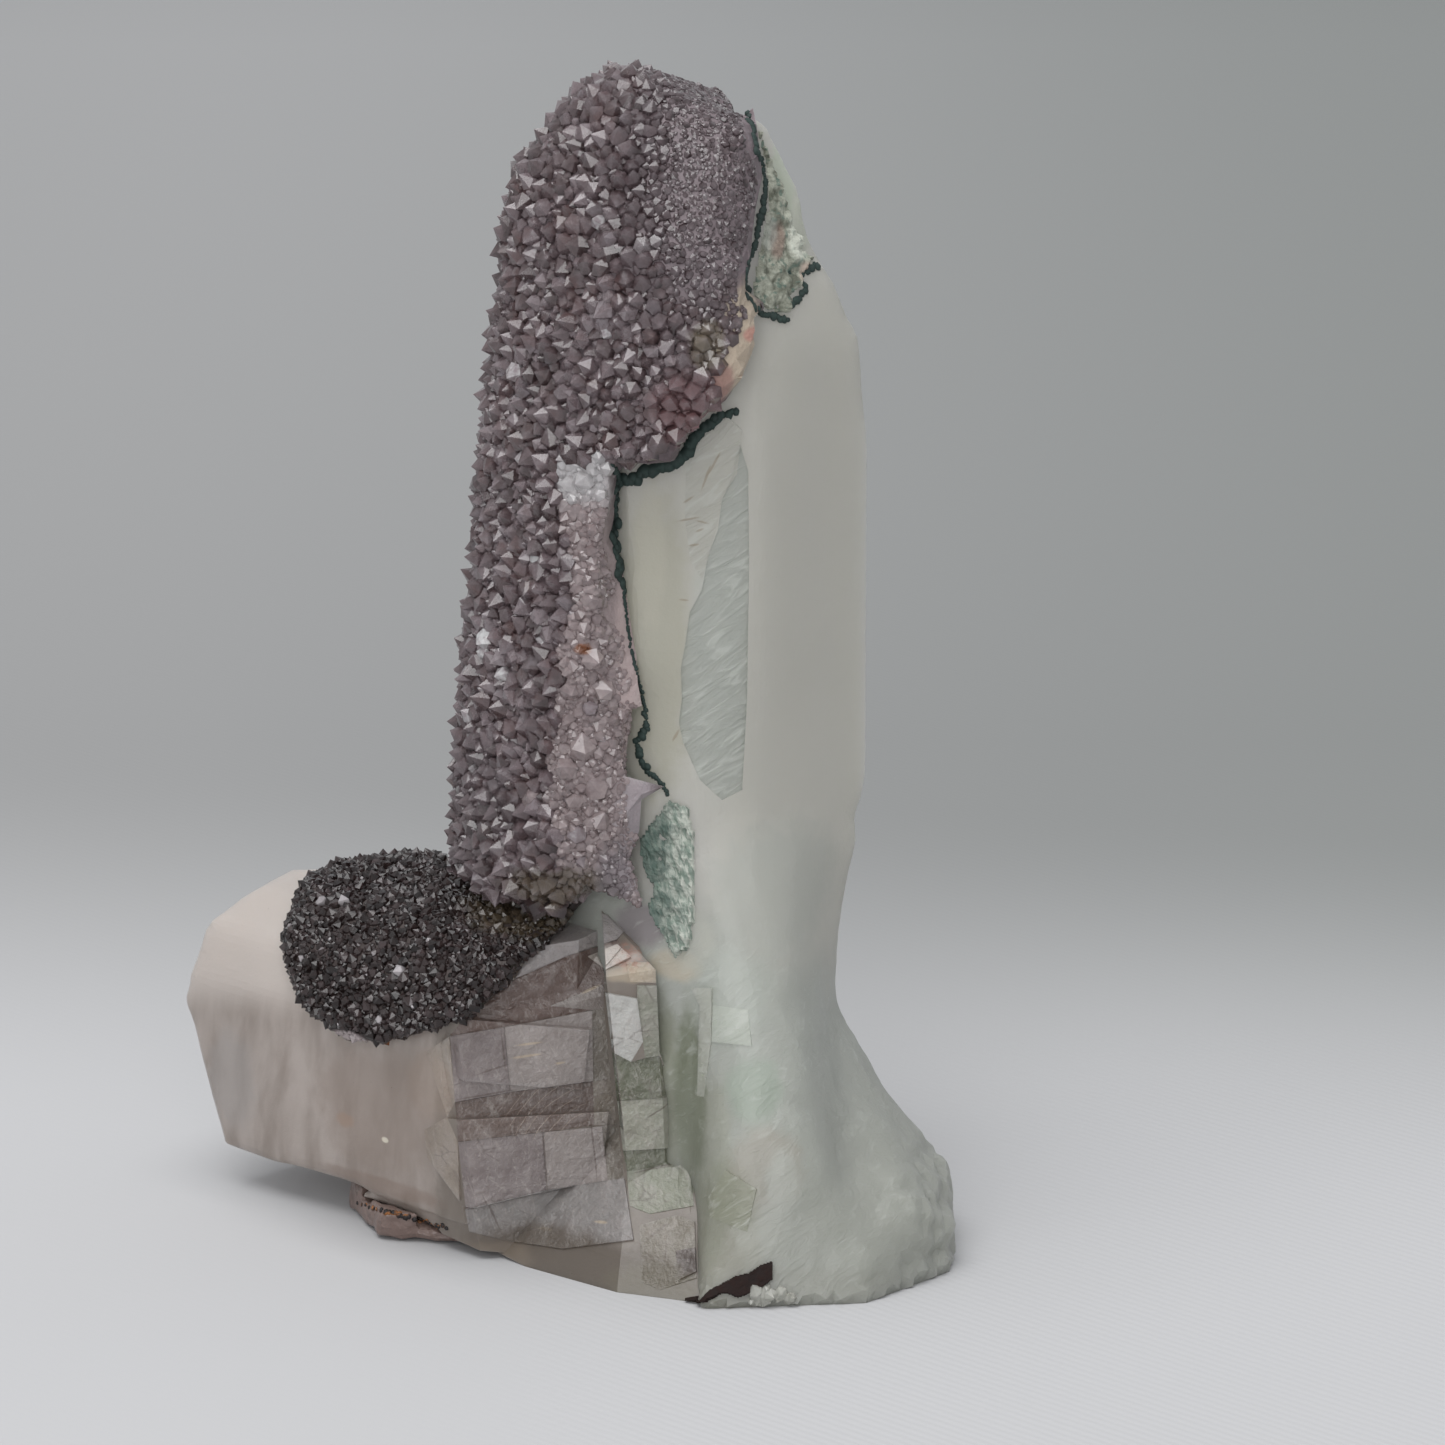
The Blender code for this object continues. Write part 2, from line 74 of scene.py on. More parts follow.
def spot(across, down, *crystals):
    """Where a line of sight meets the nearest of the crystals, and its facing there."""
    hits = [crystal.ray_cast(camera.location, line_of_sight(across, down)) for crystal in crystals]
    hits = sorted((hit[3], hit[2], hit[0], hit[1]) for hit in hits if hit[0] is not None)
    if hits:
        return hits[0][2], hits[0][3]
    return crystals[0].find_nearest(at_depth(across, down, -5))[:2]


def seen_at(place):
    """The point of the picture in which a place on the stone is seen."""
    flat = camera.rotation_euler.to_matrix().transposed() @ (place - camera.location)
    return picture / 2 - 7559 * flat.x / flat.z, picture / 2 + 7559 * flat.y / flat.z


def inside(outline, across, down):
    """Whether a point of the picture lies inside an outline drawn on it."""
    odd = False
    for (x0, y0), (x1, y1) in zip(outline, outline[1:] + outline[:1]):
        if (y0 > down) != (y1 > down) and across < x0 + (down - y0) / (y1 - y0) * (x1 - x0):
            odd = not odd
    return odd


# ---------------------------------------------------------------------------------------
# The tall crystal: one square prism of pale green apophyllite with a steep, chisel-like
# tip, frosted all over. Its foot broke out of the rock, and the break runs up the front in
# feathery steps.
# ---------------------------------------------------------------------------------------
class Amount:
    """A number that changes over a surface. Sums on amounts are written as plain sums."""

    def __init__(self, socket):
        self.socket = socket

    def __add__(self, other): return worked("ADD", self, other)
    def __radd__(self, other): return worked("ADD", other, self)
    def __sub__(self, other): return worked("SUBTRACT", self, other)
    def __rsub__(self, other): return worked("SUBTRACT", other, self)
    def __mul__(self, other): return worked("MULTIPLY", self, other)
    def __rmul__(self, other): return worked("MULTIPLY", other, self)
    def __abs__(self): return worked("ABSOLUTE", self, 0)


def worked(operation, first, second):
    """One sum on two amounts, or on an amount and a plain number."""
    socket = first.socket if isinstance(first, Amount) else second.socket
    node = socket.id_data.nodes.new("ShaderNodeMath")
    node.operation = operation
    for place, value in zip(node.inputs, (first, second)):
        if isinstance(value, Amount):
            socket.id_data.links.new(value.socket, place)
        else:
            place.default_value = value
    return Amount(node.outputs[0])


class Finish:
    """The finish of one kind of stone, made up of nodes."""

    def __init__(self, name):
        self.material = bpy.data.materials.new(name)
        self.material.use_nodes = True
        self.nodes = self.material.node_tree.nodes
        self.links = self.material.node_tree.links
        self.nodes.clear()
        self.out = self.nodes.new("ShaderNodeOutputMaterial")
        self.place = self.add("VectorMath", {"operation": "SCALE"}, {
            "Vector": self.add("TexCoord")["Object"], "Scale": 1000.0})["Vector"]
        parts = self.add("SeparateXYZ", {}, {"Vector": self.place})
        self.x, self.y, self.z = (Amount(parts[axis]) for axis in "XYZ")

    def add(self, kind, settings=None, values=None):
        """Adds a node: its settings first, then the values or links of its sockets."""
        node = self.nodes.new("ShaderNode" + kind)
        for setting, value in (settings or {}).items():
            if setting == "stops":
                while len(node.color_ramp.elements) < len(value):
                    node.color_ramp.elements.new(1.0)
                for stop, (position, colour) in zip(node.color_ramp.elements, value):
                    stop.position = position
                    stop.color = (*colour, 1.0)
            else:
                setattr(node, setting, value)
        for name, value in (values or {}).items():
            socket = next(s for s in node.inputs if name in (s.identifier, s.name) and s.enabled)
            if isinstance(value, Amount):
                value = value.socket
            if isinstance(value, bpy.types.NodeSocket):
                self.links.new(value, socket)
            elif isinstance(value, tuple) and socket.type == "RGBA":
                socket.default_value = (*value, 1.0)
            else:
                socket.default_value = value
        return {s.name: s for s in node.outputs if s.enabled}

    def cloud(self, size, detail=4.0, rough=0.55, twist=0.0, place=None):
        """Soft uneven patches about size mm across, around a half."""
        return Amount(self.add("TexNoise", {}, {
            "Vector": place or self.place, "Scale": 1 / size, "Detail": detail,
            "Roughness": rough, "Distortion": twist})["Fac"])

    def turned(self, turn, scale):
        """The place, turned by degrees about each axis and then drawn out or packed."""
        angles = tuple(math.radians(angle) for angle in turn)
        turned = self.add("VectorRotate", {"rotation_type": "EULER_XYZ"}, {
            "Vector": self.place, "Rotation": angles})["Vector"]
        return self.add("VectorMath", {"operation": "MULTIPLY"}, {
            "Vector": turned, "Vector_001": scale})["Vector"]

    def step(self, amount, low, high):
        """Nothing below low, all of it above high, and a soft change between."""
        return Amount(self.add("MapRange", {"interpolation_type": "SMOOTHSTEP"}, {
            "Value": amount, "From Min": low, "From Max": high})["Result"])

    def patch(self, centre, wide, tall, ragged=0.35, soft=0.3, turn=0):
        """A patch round a place on the stone, with a ragged border, sizes in mm."""
        middle = tuple(centre / mm)
        away = self.add("VectorMath", {"operation": "SUBTRACT"}, {
            "Vector": self.place, "Vector_001": middle})["Vector"]
        if turn:
            away = self.add("VectorRotate", {"rotation_type": "Y_AXIS"}, {
                "Vector": away, "Angle": math.radians(turn)})["Vector"]
        away = self.add("VectorMath", {"operation": "MULTIPLY"}, {
            "Vector": away, "Vector_001": (2 / wide, 1 / max(wide, tall), 2 / tall)})["Vector"]
        away = Amount(self.add("VectorMath", {"operation": "LENGTH"}, {"Vector": away})["Value"])
        return 1 - self.step(away + (self.cloud(1.1) - 0.5) * ragged * 2, 1 - soft, 1 + soft)

    def mix(self, share, first, second):
        """One colour turning into another where the share is high."""
        return self.add("Mix", {"data_type": "RGBA"}, {
            "Factor_Float": share, "A_Color": first, "B_Color": second})["Result"]

    def bump(self, height, depth, under=None):
        """Relief of a given depth in mm."""
        values = {"Height": height, "Distance": depth * mm, "Strength": 1.0}
        if under is not None:
            values["Normal"] = under
        return self.add("Bump", {}, values)["Normal"]

    def stone(self, values, swallowed=None, density=0.0):
        """The body of the stone, and the colour of the light that gets through it."""
        shader = self.add("BsdfPrincipled", {}, values)["BSDF"]
        self.links.new(shader, self.out.inputs["Surface"])
        if swallowed:
            self.links.new(self.add("VolumeAbsorption", {}, {
                "Color": swallowed, "Density": density})["Volume"], self.out.inputs["Volume"])
        return self.material


def tint(red, green, blue, lift=1.5):
    """The stone's own colour for a tone as it looks in the picture, from 0 to 255."""
    return tuple(min(0.9, lift * (part / 255) ** 2.2) for part in (red, green, blue))


def rough_copy(node):
    """The solid's own surface, with the corners of its loose triangles joined."""
    bm = bmesh.new()
    bm.from_mesh(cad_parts[node].data)
    bmesh.ops.remove_doubles(bm, verts=bm.verts, dist=1e-7)
    bmesh.ops.dissolve_limit(bm, angle_limit=math.radians(0.4), verts=bm.verts, edges=bm.edges)
    return bm


def soften(bm, width):
    """Takes the knife edge off each corner of a crystal."""
    sharp = [e for e in bm.edges if e.is_manifold and e.calc_face_angle() > math.radians(9)]
    bmesh.ops.bevel(bm, geom=sharp, offset=width * mm, offset_type="OFFSET", segments=2,
                    profile=0.5, affect="EDGES", clamp_overlap=True, material=-1)


def scored(bm, step):
    """Scores the whole surface into small squares, so that a relief fits on it."""
    for axis in range(3):
        across = Vector((axis == 0, axis == 1, axis == 2))
        reach = [vert.co[axis] / mm / step for vert in bm.verts]
        for cut in range(math.ceil(min(reach)), math.floor(max(reach)) + 1):
            bmesh.ops.bisect_plane(bm, geom=bm.verts[:] + bm.edges[:] + bm.faces[:], dist=1e-8,
                                   plane_co=across * (cut * step + 0.011) * mm, plane_no=across)
    bmesh.ops.triangulate(bm, faces=bm.faces)


def piece(name, bm, material, smooth=False):
    """Makes a finished piece of stone that stays with the specimen."""
    mesh = bpy.data.meshes.new(name)
    bm.normal_update()
    bm.to_mesh(mesh)
    bm.free()
    mesh.materials.append(material)
    if smooth:
        mesh.shade_smooth()
    made = bpy.data.objects.new(name, mesh)
    bpy.context.scene.collection.objects.link(made)
    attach(made, "root")
    return made


def rising(value, low, high):
    """Runs smoothly from nothing at low to one at high."""
    share = min(1.0, max(0.0, (value - low) / (high - low)))
    return share * share * (3 - 2 * share)


def torn(at):
    """How much of the tall crystal's surface at a place is break, and not natural face."""
    return 1 - rising(at.z + 0.55 * (at.x - 10), 18, 25)


def worn(bm, rounds, where):
    """Rounds off the stone by hand wherever the test on a corner's place holds."""
    chosen = [v for v in bm.verts if v.co.z > 0.4 * mm and where(v.co)]
    for _ in range(rounds):
        bmesh.ops.smooth_vert(bm, verts=chosen, factor=0.5, use_axis_x=True, use_axis_y=True,
                              use_axis_z=True)


def cleave(bm, panes):
    """Splits panes off along outlines in the picture: each stands proud, or lies deeper."""
    own = bm.loops.layers.float_color.new("own")
    for face in bm.faces:
        for loop in face.loops:
            loop[own] = (0, 0, 0, 0)
    stone = BVHTree.FromBMesh(bm)
    for *outline, tone, proud, lean in panes:
        middle = [sum(corner[axis] for corner in outline) / len(outline) for axis in (0, 1)]
        reach = max(math.dist(middle, corner) for corner in outline) + 25
        near = []
        for face in bm.faces:
            centre = face.calc_center_median()
            if face.normal.dot(camera.location - centre) > 0 and math.dist(middle, seen_at(centre)) < reach:
                if (spot(*seen_at(centre), stone)[0] - centre).length < 0.8 * mm:
                    near.append(face)
        for start, end in zip(outline, outline[1:] + outline[:1]):
            around = near + list({e for f in near for e in f.edges} | {v for f in near for v in f.verts})
            side = line_of_sight(*start).cross(line_of_sight(*end)).normalized()
            split = bmesh.ops.bisect_plane(bm, geom=around, dist=1e-8, plane_co=camera.location,
                                           plane_no=side)["geom"]
            near = [item for item in split if isinstance(item, bmesh.types.BMFace)]
        pane = [f for f in near if inside(outline, *seen_at(f.calc_center_median()))]
        if not pane:
            continue
        facing = sum((f.normal * f.calc_area() for f in pane), Vector()).normalized()
        made = bmesh.ops.extrude_face_region(bm, geom=pane)["geom"]
        top = {item for item in made if isinstance(item, bmesh.types.BMFace)}
        bmesh.ops.delete(bm, geom=pane, context="FACES")
        verts = {v for f in top for v in f.verts}
        centre = sum((v.co for v in verts), Vector()) / len(verts)
        for vert in verts:
            slope = math.tan(math.radians(lean)) * (vert.co - centre).z
            vert.co += facing * (proud * 0.75 * mm + slope * 0.75)
        # Painted shade: the side walls of each pane get its tone at 0.8, darker than its top.
        for face in {f for v in verts for f in v.link_faces}:
            shade = 1.0 if face in top else 0.8
            for loop in face.loops:
                loop[own] = (*(part * shade for part in tone), 1)
    bmesh.ops.triangulate(bm, faces=bm.faces)
    bmesh.ops.recalc_face_normals(bm, faces=bm.faces)


def settle(bm, neighbours):
    """Closes the hairline gap to the crystals that this one has grown together with."""
    for vert in bm.verts:
        for tree in neighbours:
            place, facing, _, gap = tree.find_nearest(vert.co)
            if gap < 0.45 * mm and (place - vert.co).dot(vert.normal) > 0:
                vert.co = place + (place - vert.co).normalized() * 0.06 * mm


green_shape = rough_copy("green_crystal")
scored(green_shape, 2.2)
worn(green_shape, 12, lambda place: place.z + 0.35 * (place.x - 10 * mm) < 37 * mm
     and place.y < 0 and seen_at(place)[0] < 800)
worn(green_shape, 4, lambda place: place.z < 26 * mm and seen_at(place)[0] >= 800)
worn(green_shape, 6, lambda place: place.z < 30 * mm and place.y >= 0)
worn(green_shape, 6, lambda place: inside(
    [(740, 200), (900, 200), (900, 380), (846, 440), (846, 700), (842, 800), (780, 900), (715, 900),
     (722, 640), (715, 420), (740, 330)], *seen_at(place)))
swell = green_shape.copy()
bmesh.ops.delete(swell, geom=[v for v in swell.verts if v.co.z > 30 * mm or v.co.y > 5 * mm],
                 context="VERTS")
hull = bmesh.ops.convex_hull(swell, input=swell.verts[:])
bmesh.ops.delete(swell, geom=[g for g in hull["geom_interior"] + hull["geom_unused"] if g.is_valid
                              and isinstance(g, bmesh.types.BMVert)], context="VERTS")
swollen = BVHTree.FromBMesh(swell)
swell.free()
green_shape.normal_update()
for vert in green_shape.verts:
    toward = (camera.location - vert.co).normalized()
    across = seen_at(vert.co)[0]
    share = rising(across, 694, 758) - rising(across, 780, 840)
    if share and vert.normal.dot(toward) > 0 and 0.4 * mm < vert.co.z < 30 * mm:
        gap = swollen.ray_cast(vert.co + toward * 1e-5, toward, 6 * mm)[3] or 0
        vert.co += toward * gap * share * 0.8
scored(green_shape, 0.9)
worn(green_shape, 4, lambda place: True)
green_shape.normal_update()
for vert in green_shape.verts:
    at = vert.co / mm
    if at.z > 0.05:
        hollow = abs(noise.noise(at * 0.16 + Vector((3, 1, 7))))
        ridged = abs(noise.noise(Vector((at.x * 0.5, at.y * 0.5, at.z * 0.3))))
        tip = rising(at.x, 20, 25) * (1 - rising(at.z, 5, 9))
        vert.co += vert.normal * mm * torn(at) * (
            0.40 - 0.3 * hollow - 0.12 * ridged + tip * 0.5 * noise.noise(at * 0.9))
cleave(green_shape, (
    ((707, 1200), (726, 1170), (757, 1189), (747, 1232), (711, 1218), tint(122, 123, 108), 0.12, 3),
    ((693, 988), (713, 988), (712, 1040), (704, 1097), (697, 1096), (701, 1006), tint(152, 153, 144), 0.15, 2),
    ((713, 1005), (748, 1010), (752, 1046), (712, 1042), tint(156, 160, 151), 0.10, -2),
    ((740, 445), (748, 470), (749, 560), (747, 700), (742, 790), (722, 800), (700, 780), (683, 742),
     (679, 722), (682, 700), (681, 668), (686, 640), (690, 612), (702, 590), (708, 556), (718, 530),
     (722, 500), (732, 478), tint(140, 143, 137), -0.14, 0),
    ((686, 470), (700, 440), (727, 416), (742, 430), (737, 474), (722, 497), (716, 530), (702, 580),
     (690, 560), (685, 520), tint(154, 153, 145), 0.08, 1),
))
green_tree = BVHTree.FromBMesh(green_shape)

frosted = Finish("frosted_apophyllite")
grain = frosted.cloud(0.3, 6, 0.7)
drift = frosted.cloud(8, 3)
streak = frosted.cloud(3, 3, 0.5, 0, frosted.turned((0, 0, 0), (1, 1, 0.12)))
broken = 1 - frosted.step(frosted.z + frosted.x * 0.55 + (drift - 0.5) * 9, 25, 31)
plumes = frosted.cloud(1.0, 5, 0.6, 1.0, frosted.turned((0, 35, 0), (0.4, 1, 1.6)))
colour = frosted.mix(drift, tint(155, 154, 148), tint(165, 163, 157))
colour = frosted.mix(streak * 0.5, colour, tint(162, 160, 150))
colour = frosted.mix(broken * 0.8, colour, frosted.mix(drift, tint(134, 137, 131), tint(148, 151, 145)))
for across, down, wide, tall, share, tone in (
        (655, 640, 4.6, 20, 0.9, tint(151, 149, 136)),
        (650, 560, 2.0, 9, 0.4, tint(166, 163, 150)),
        (715, 650, 3.2, 16, 0.5, tint(160, 163, 156)),
        (708, 490, 3.4, 8, 0.7, tint(168, 167, 158)),
        (675, 965, 3.4, 2.0, 0.8, tint(164, 156, 140)),
        (690, 940, 3.0, 4.0, 0.7, tint(160, 160, 151)),
        (735, 1245, 6.0, 5.0, 0.6, tint(142, 140, 127)),
        (712, 1150, 2.6, 9.0, 0.6, tint(138, 139, 126)),
        (640, 925, 3.4, 3.0, 0.9, tint(122, 115, 117)),
        (655, 1100, 4.2, 13, 0.8, tint(120, 122, 106)),
        (690, 1100, 2.0, 12, 0.9, tint(104, 108, 92)),
        (730, 1195, 3.4, 4.2, 0.8, tint(118, 120, 103)),
        (765, 1170, 4.6, 5.0, 0.7, tint(142, 136, 126)),
        (755, 1090, 3.5, 4.0, 0.6, tint(132, 143, 130)),
        (782, 1180, 2.0, 3.6, 0.7, tint(158, 160, 154)),
        (776, 1235, 2.4, 4.2, 0.7, tint(156, 158, 152)),
        (783, 180, 1.6, 6.0, 0.7, tint(150, 158, 142)),
        (802, 222, 1.6, 4.0, 0.7, tint(160, 164, 150)),
        (822, 1258, 6.0, 2.4, 0.5, tint(146, 148, 142)),
        (730, 1000, 5.0, 6.0, 0.5, tint(154, 158, 151)),
        (780, 890, 9.0, 8.0, 0.6, tint(146, 148, 142)),
        (716, 1262, 3.8, 5.0, 0.8, tint(112, 107, 92)),
        (708, 1222, 2.4, 4.4, 0.7, tint(116, 117, 100)),
        (735, 1302, 5.4, 1.4, 0.8, tint(104, 98, 84)),
        (800, 1290, 12.0, 2.6, 0.6, tint(134, 134, 126))):
    place = spot(across, down, green_tree)[0]
    colour = frosted.mix(frosted.patch(place, wide, tall) * share, colour, tone)
colour = frosted.mix(frosted.step(plumes, 0.55, 0.72) * broken * 0.35, colour, tint(174, 177, 171))
# Painted shade: the colour darkens towards the bottom, standing for the shade on the foot where it curves in under
# itself.
low = 1 - frosted.step(frosted.z + (drift - 0.5) * 6, 3, 15)
colour = frosted.mix(low * 0.55, colour, tint(128, 129, 121))
own = frosted.add("Attribute", {"attribute_name": "own"})
mottle = frosted.cloud(1.2, 5, 0.6)
colour = frosted.mix(Amount(own["Alpha"]) * (0.55 + mottle * 0.5), colour, own["Color"])
feathers = frosted.cloud(1.3, 4, 0.5, 1.6, frosted.turned((0, 36, 0), (0.35, 1, 1.7)))
feathers = feathers * Amount(own["Alpha"])
colour = frosted.mix(frosted.step(feathers, 0.5, 0.68) * 0.4, colour, tint(176, 178, 172))
for across, down, long, turn in ((690, 519, 22, 12), (702, 522, 16, -14), (688, 500, 12, 35),
                                 (706, 478, 26, 70), (715, 462, 22, 62), (694, 545, 10, 10),
                                 (700, 530, 9, 25), (684, 600, 10, -5), (676, 735, 12, 62)):
    place = spot(across, down, green_tree)[0]
    crack = frosted.patch(place, long * 0.0635, 0.14, 0.7, 0.4, turn)
    colour = frosted.mix(crack * 0.6, colour, tint(126, 112, 92))
frosted_stone = frosted.stone({
    "Base Color": colour,
    "Roughness": 0.46 - broken * 0.16 + grain * 0.1,
    "IOR": 1.535,
    "Transmission Weight": 0.35,
    "Subsurface Weight": 0.55,
    "Subsurface Radius": (1.0, 1.05, 0.95),
    "Subsurface Scale": 0.004,
    "Normal": frosted.bump(plumes * broken * 0.6 + feathers, 0.16,
                           frosted.bump(grain, 0.02)),
}, (0.80, 0.90, 0.82), 14.0)
green = piece("tall_crystal", green_shape, frosted_stone)
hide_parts("green_crystal")


# ---------------------------------------------------------------------------------------
# The short crystal: clear to milky apophyllite that leans out to the left. Its near end
# split along its cleavage into steps and panes, some brown with iron, some pale grey and
# grey-blue, where the colour is partly painted sheen of light on the cleavage faces.
# ---------------------------------------------------------------------------------------
clear_shape = rough_copy("clear_crystal")
soften(clear_shape, 0.7)
scored(clear_shape, 1.1)
worn(clear_shape, 16, lambda place: seen_at(place)[0] < 440)
for vert in clear_shape.verts:
    across, down = seen_at(vert.co)
    if 280 < across < 430 and down < 870:
        vert.co.z -= (870 - down) * 0.066 * mm
clear_shape.normal_update()
settle(clear_shape, (green_tree,))
brown, smoke, grey_mauve = tint(92, 76, 70), tint(93, 80, 74), tint(117, 108, 107)
pearly_sheen_grey, blue_grey_sheen, olive = tint(136, 128, 125), tint(124, 120, 118), tint(92, 95, 79)
dusky, pale_green = tint(108, 102, 94), tint(140, 140, 128)
# The panes' tones are partly the stone's own colour and partly painted reflection: the pale grey and grey-blue panes
# stand for cleavage faces catching the light.
cleave(clear_shape, (
    ((515, 979), (528, 958), (570, 917), (597, 913), (631, 923), (617, 940), (565, 957), tint(146, 140, 139), 0.16, 0),
    ((450, 1036), (461, 1022), (515, 979), (565, 957), (617, 940), (622, 948), (604, 968), (604, 1008),
     (592, 1010), (504, 1027), brown, 0.02, 3),
    ((550, 1006), (603, 984), (604, 1008), (592, 1010), tint(120, 112, 108), 0.10, 4),
    ((450, 1036), (504, 1027), (510, 1092), (455, 1102), grey_mauve, 0.12, -1),
    ((504, 1027), (592, 1010), (593, 1081), (510, 1092), pearly_sheen_grey, 0.20, 1),
    ((592, 1010), (604, 1008), (611, 1079), (593, 1081), dusky, 0.02, 0),
    ((455, 1102), (510, 1092), (593, 1081), (594, 1125), (543, 1132), (458, 1142), smoke, -0.05, -4),
    ((593, 1081), (611, 1079), (617, 1124), (594, 1125), tint(116, 108, 99), 0.0, -2),
    ((458, 1142), (543, 1132), (546, 1191), (466, 1210), grey_mauve, 0.14, 0),
    ((543, 1132), (602, 1126), (608, 1181), (546, 1191), pearly_sheen_grey, 0.10, 2),
    ((602, 1126), (617, 1124), (625, 1179), (608, 1181), dusky, 0.02, 0),
    ((466, 1210), (546, 1191), (608, 1181), (625, 1179), (634, 1240), (563, 1249), (503, 1240),
     (470, 1232), blue_grey_sheen, 0.22, 1),
    ((424, 1130), (447, 1117), (458, 1142), (461, 1200), (428, 1157), tint(134, 124, 114), 0.06, -3),
    ((426, 1052), (450, 1036), (455, 1102), (447, 1117), tint(146, 137, 128), 0.06, 2),
    ((605, 992), (637, 998), (643, 1042), (631, 1062), (612, 1052), tint(178, 177, 173), 0.22, 7),
    ((637, 985), (681, 985), (684, 1052), (645, 1058), (643, 1042), (637, 998), tint(128, 129, 117), 0.12, 3),
    ((612, 1052), (631, 1062), (645, 1058), (684, 1052), (685, 1096), (617, 1101), olive, -0.10, -6),
    ((617, 1101), (685, 1096), (689, 1147), (623, 1151), pale_green, 0.14, 2),
    ((623, 1151), (689, 1147), (690, 1163), (627, 1172), olive, -0.05, -6),
    ((627, 1172), (690, 1163), (694, 1206), (650, 1214), (630, 1206), tint(126, 128, 114), 0.12, 2),
    ((684, 1008), (701, 1006), (703, 1191), (692, 1193), (685, 1096), olive, -0.08, 0),
    ((640, 1226), (676, 1216), (695, 1222), (697, 1278), (660, 1290), (642, 1282), tint(116, 110, 100), 0.14, 3),
    ((676, 1252), (696, 1248), (697, 1272), (680, 1280), tint(66, 56, 50), 0.20, 0),
    ((646, 942), (667, 949), (661, 962), (649, 961), tint(200, 194, 188), 0.25, 6),
    ((588, 957), (617, 946), (631, 958), (606, 970), tint(188, 178, 170), 0.22, 8),
    ((626, 962), (664, 963), (690, 975), (680, 984), (630, 982), tint(160, 148, 134), 0.12, 6),
))
clear_tree = BVHTree.FromBMesh(clear_shape)
crystals = (green_tree, clear_tree)

milky = Finish("milky_apophyllite")
veils = milky.cloud(2.4, 4, 0.5, 0.3, milky.turned((0, -12, 0), (1.4, 1, 0.3)))
speck = milky.cloud(0.4, 5, 0.65)
# Painted light: the upper face is lighter, partly as it is more frosted and partly as painted light from above.
lit_frosted_top = milky.step(milky.z - 0.25 * milky.x, 17.5, 20.5) * (1 - milky.step(milky.x, -12, -8))
block = milky.step(milky.x + (speck - 0.5) * 0.6, -8.4, -7.6)
colour = milky.mix(milky.step(veils, 0.3, 0.7), tint(132, 122, 115), tint(158, 149, 143))
colour = milky.mix(lit_frosted_top, colour, tint(172, 164, 158))
colour = milky.mix(block * 0.85, colour, milky.mix(veils, tint(100, 92, 84), tint(118, 110, 103)))
own = milky.add("Attribute", {"attribute_name": "own"})
mottle = milky.cloud(1.6, 5, 0.6)
cloudy = milky.mix(milky.step(mottle, 0.40, 0.75) * 0.35, own["Color"], tint(160, 152, 150))
cloudy = milky.mix(milky.step(1 - mottle, 0.5, 0.75) * 0.35, cloudy, tint(92, 82, 80))
glaze = milky.cloud(0.9, 5, 0.7, 1.2, milky.turned((0, 20, 0), (1.6, 1, 0.6)))
cloudy = milky.mix(milky.step(glaze, 0.54, 0.64) * 0.28, cloudy, tint(172, 165, 160))
colour = milky.mix(Amount(own["Alpha"]), colour, cloudy)
cells = milky.add("TexVoronoi", {"feature": "DISTANCE_TO_EDGE"}, {
    "Vector": milky.turned((0, -8, 0), (0.6, 0.6, 1.3)), "Scale": 0.45})["Distance"]
crazed = (1 - milky.step(Amount(cells), 0.0, 0.035)) * milky.step(mottle, 0.5, 0.62)
colour = milky.mix(crazed * Amount(own["Alpha"]) * 0.4, colour, tint(78, 68, 62))
rusty = milky.patch(spot(632, 957, clear_tree)[0], 2.4, 1.6, 0.6) * milky.step(speck, 0.4, 0.6)
colour = milky.mix(rusty * 0.6, colour, tint(150, 104, 88))
rusty = milky.patch(spot(345, 1120, clear_tree)[0], 1.3, 1.0, 0.5)
colour = milky.mix(rusty * 0.4, colour, tint(160, 118, 84))
for across, down, long, turn in ((528, 1044, 26, 4), (527, 1056, 24, 5), (560, 1063, 10, 5),
                                 (545, 1229, 14, 6), (600, 1222, 14, 8), (590, 990, 20, 20)):
    place = spot(across, down, clear_tree)[0]
    streaks = milky.patch(place, long * 0.0635, 0.16, 0.7, 0.4, turn)
    colour = milky.mix(streaks * 0.6, colour, tint(176, 160, 138))
for across, down, long, turn in ((494, 1069, 30, 16), (484, 1095, 60, 6), (492, 1212, 46, -68),
                                 (503, 1048, 38, -84), (545, 1160, 60, -86), (594, 1150, 60, -84),
                                 (575, 1246, 90, -4), (540, 1129, 80, 6), (620, 1100, 70, -84),
                                 (660, 1110, 30, 30), (655, 1168, 40, 12), (664, 1270, 40, 84)):
    place = spot(across, down, clear_tree)[0]
    crack = milky.patch(place, long * 0.0635, 0.12, 0.7, 0.4, turn)
    colour = milky.mix(crack * 0.55, colour, tint(78, 66, 60))
for across, down, wide, tall, share, tone in (
        (610, 954, 1.6, 0.9, 0.5, tint(196, 186, 178)), (655, 950, 1.4, 0.9, 0.5, tint(204, 198, 192)),
        (640, 975, 4.4, 1.0, 0.6, tint(166, 152, 132)), (232, 1080, 3.2, 7.0, 0.5, tint(142, 138, 136)),
        (430, 1085, 3.0, 5.0, 0.5, tint(142, 126, 114)), (375, 1110, 8.0, 9.0, 0.5, tint(126, 112, 103)), (380, 1185, 9.0, 1.2, 0.5, tint(120, 102, 92)),
        (570, 1262, 15.0, 3.4, 0.9, tint(88, 80, 72)),
        (655, 1290, 6.0, 3.0, 0.8, tint(98, 92, 80)), (385, 1140, 0.5, 0.4, 0.9, tint(206, 196, 180)),
        (495, 1262, 6.0, 2.0, 0.5, tint(122, 110, 98))):
    place = spot(across, down, clear_tree)[0]
    colour = milky.mix(milky.patch(place, wide, tall) * share, colour, tone)
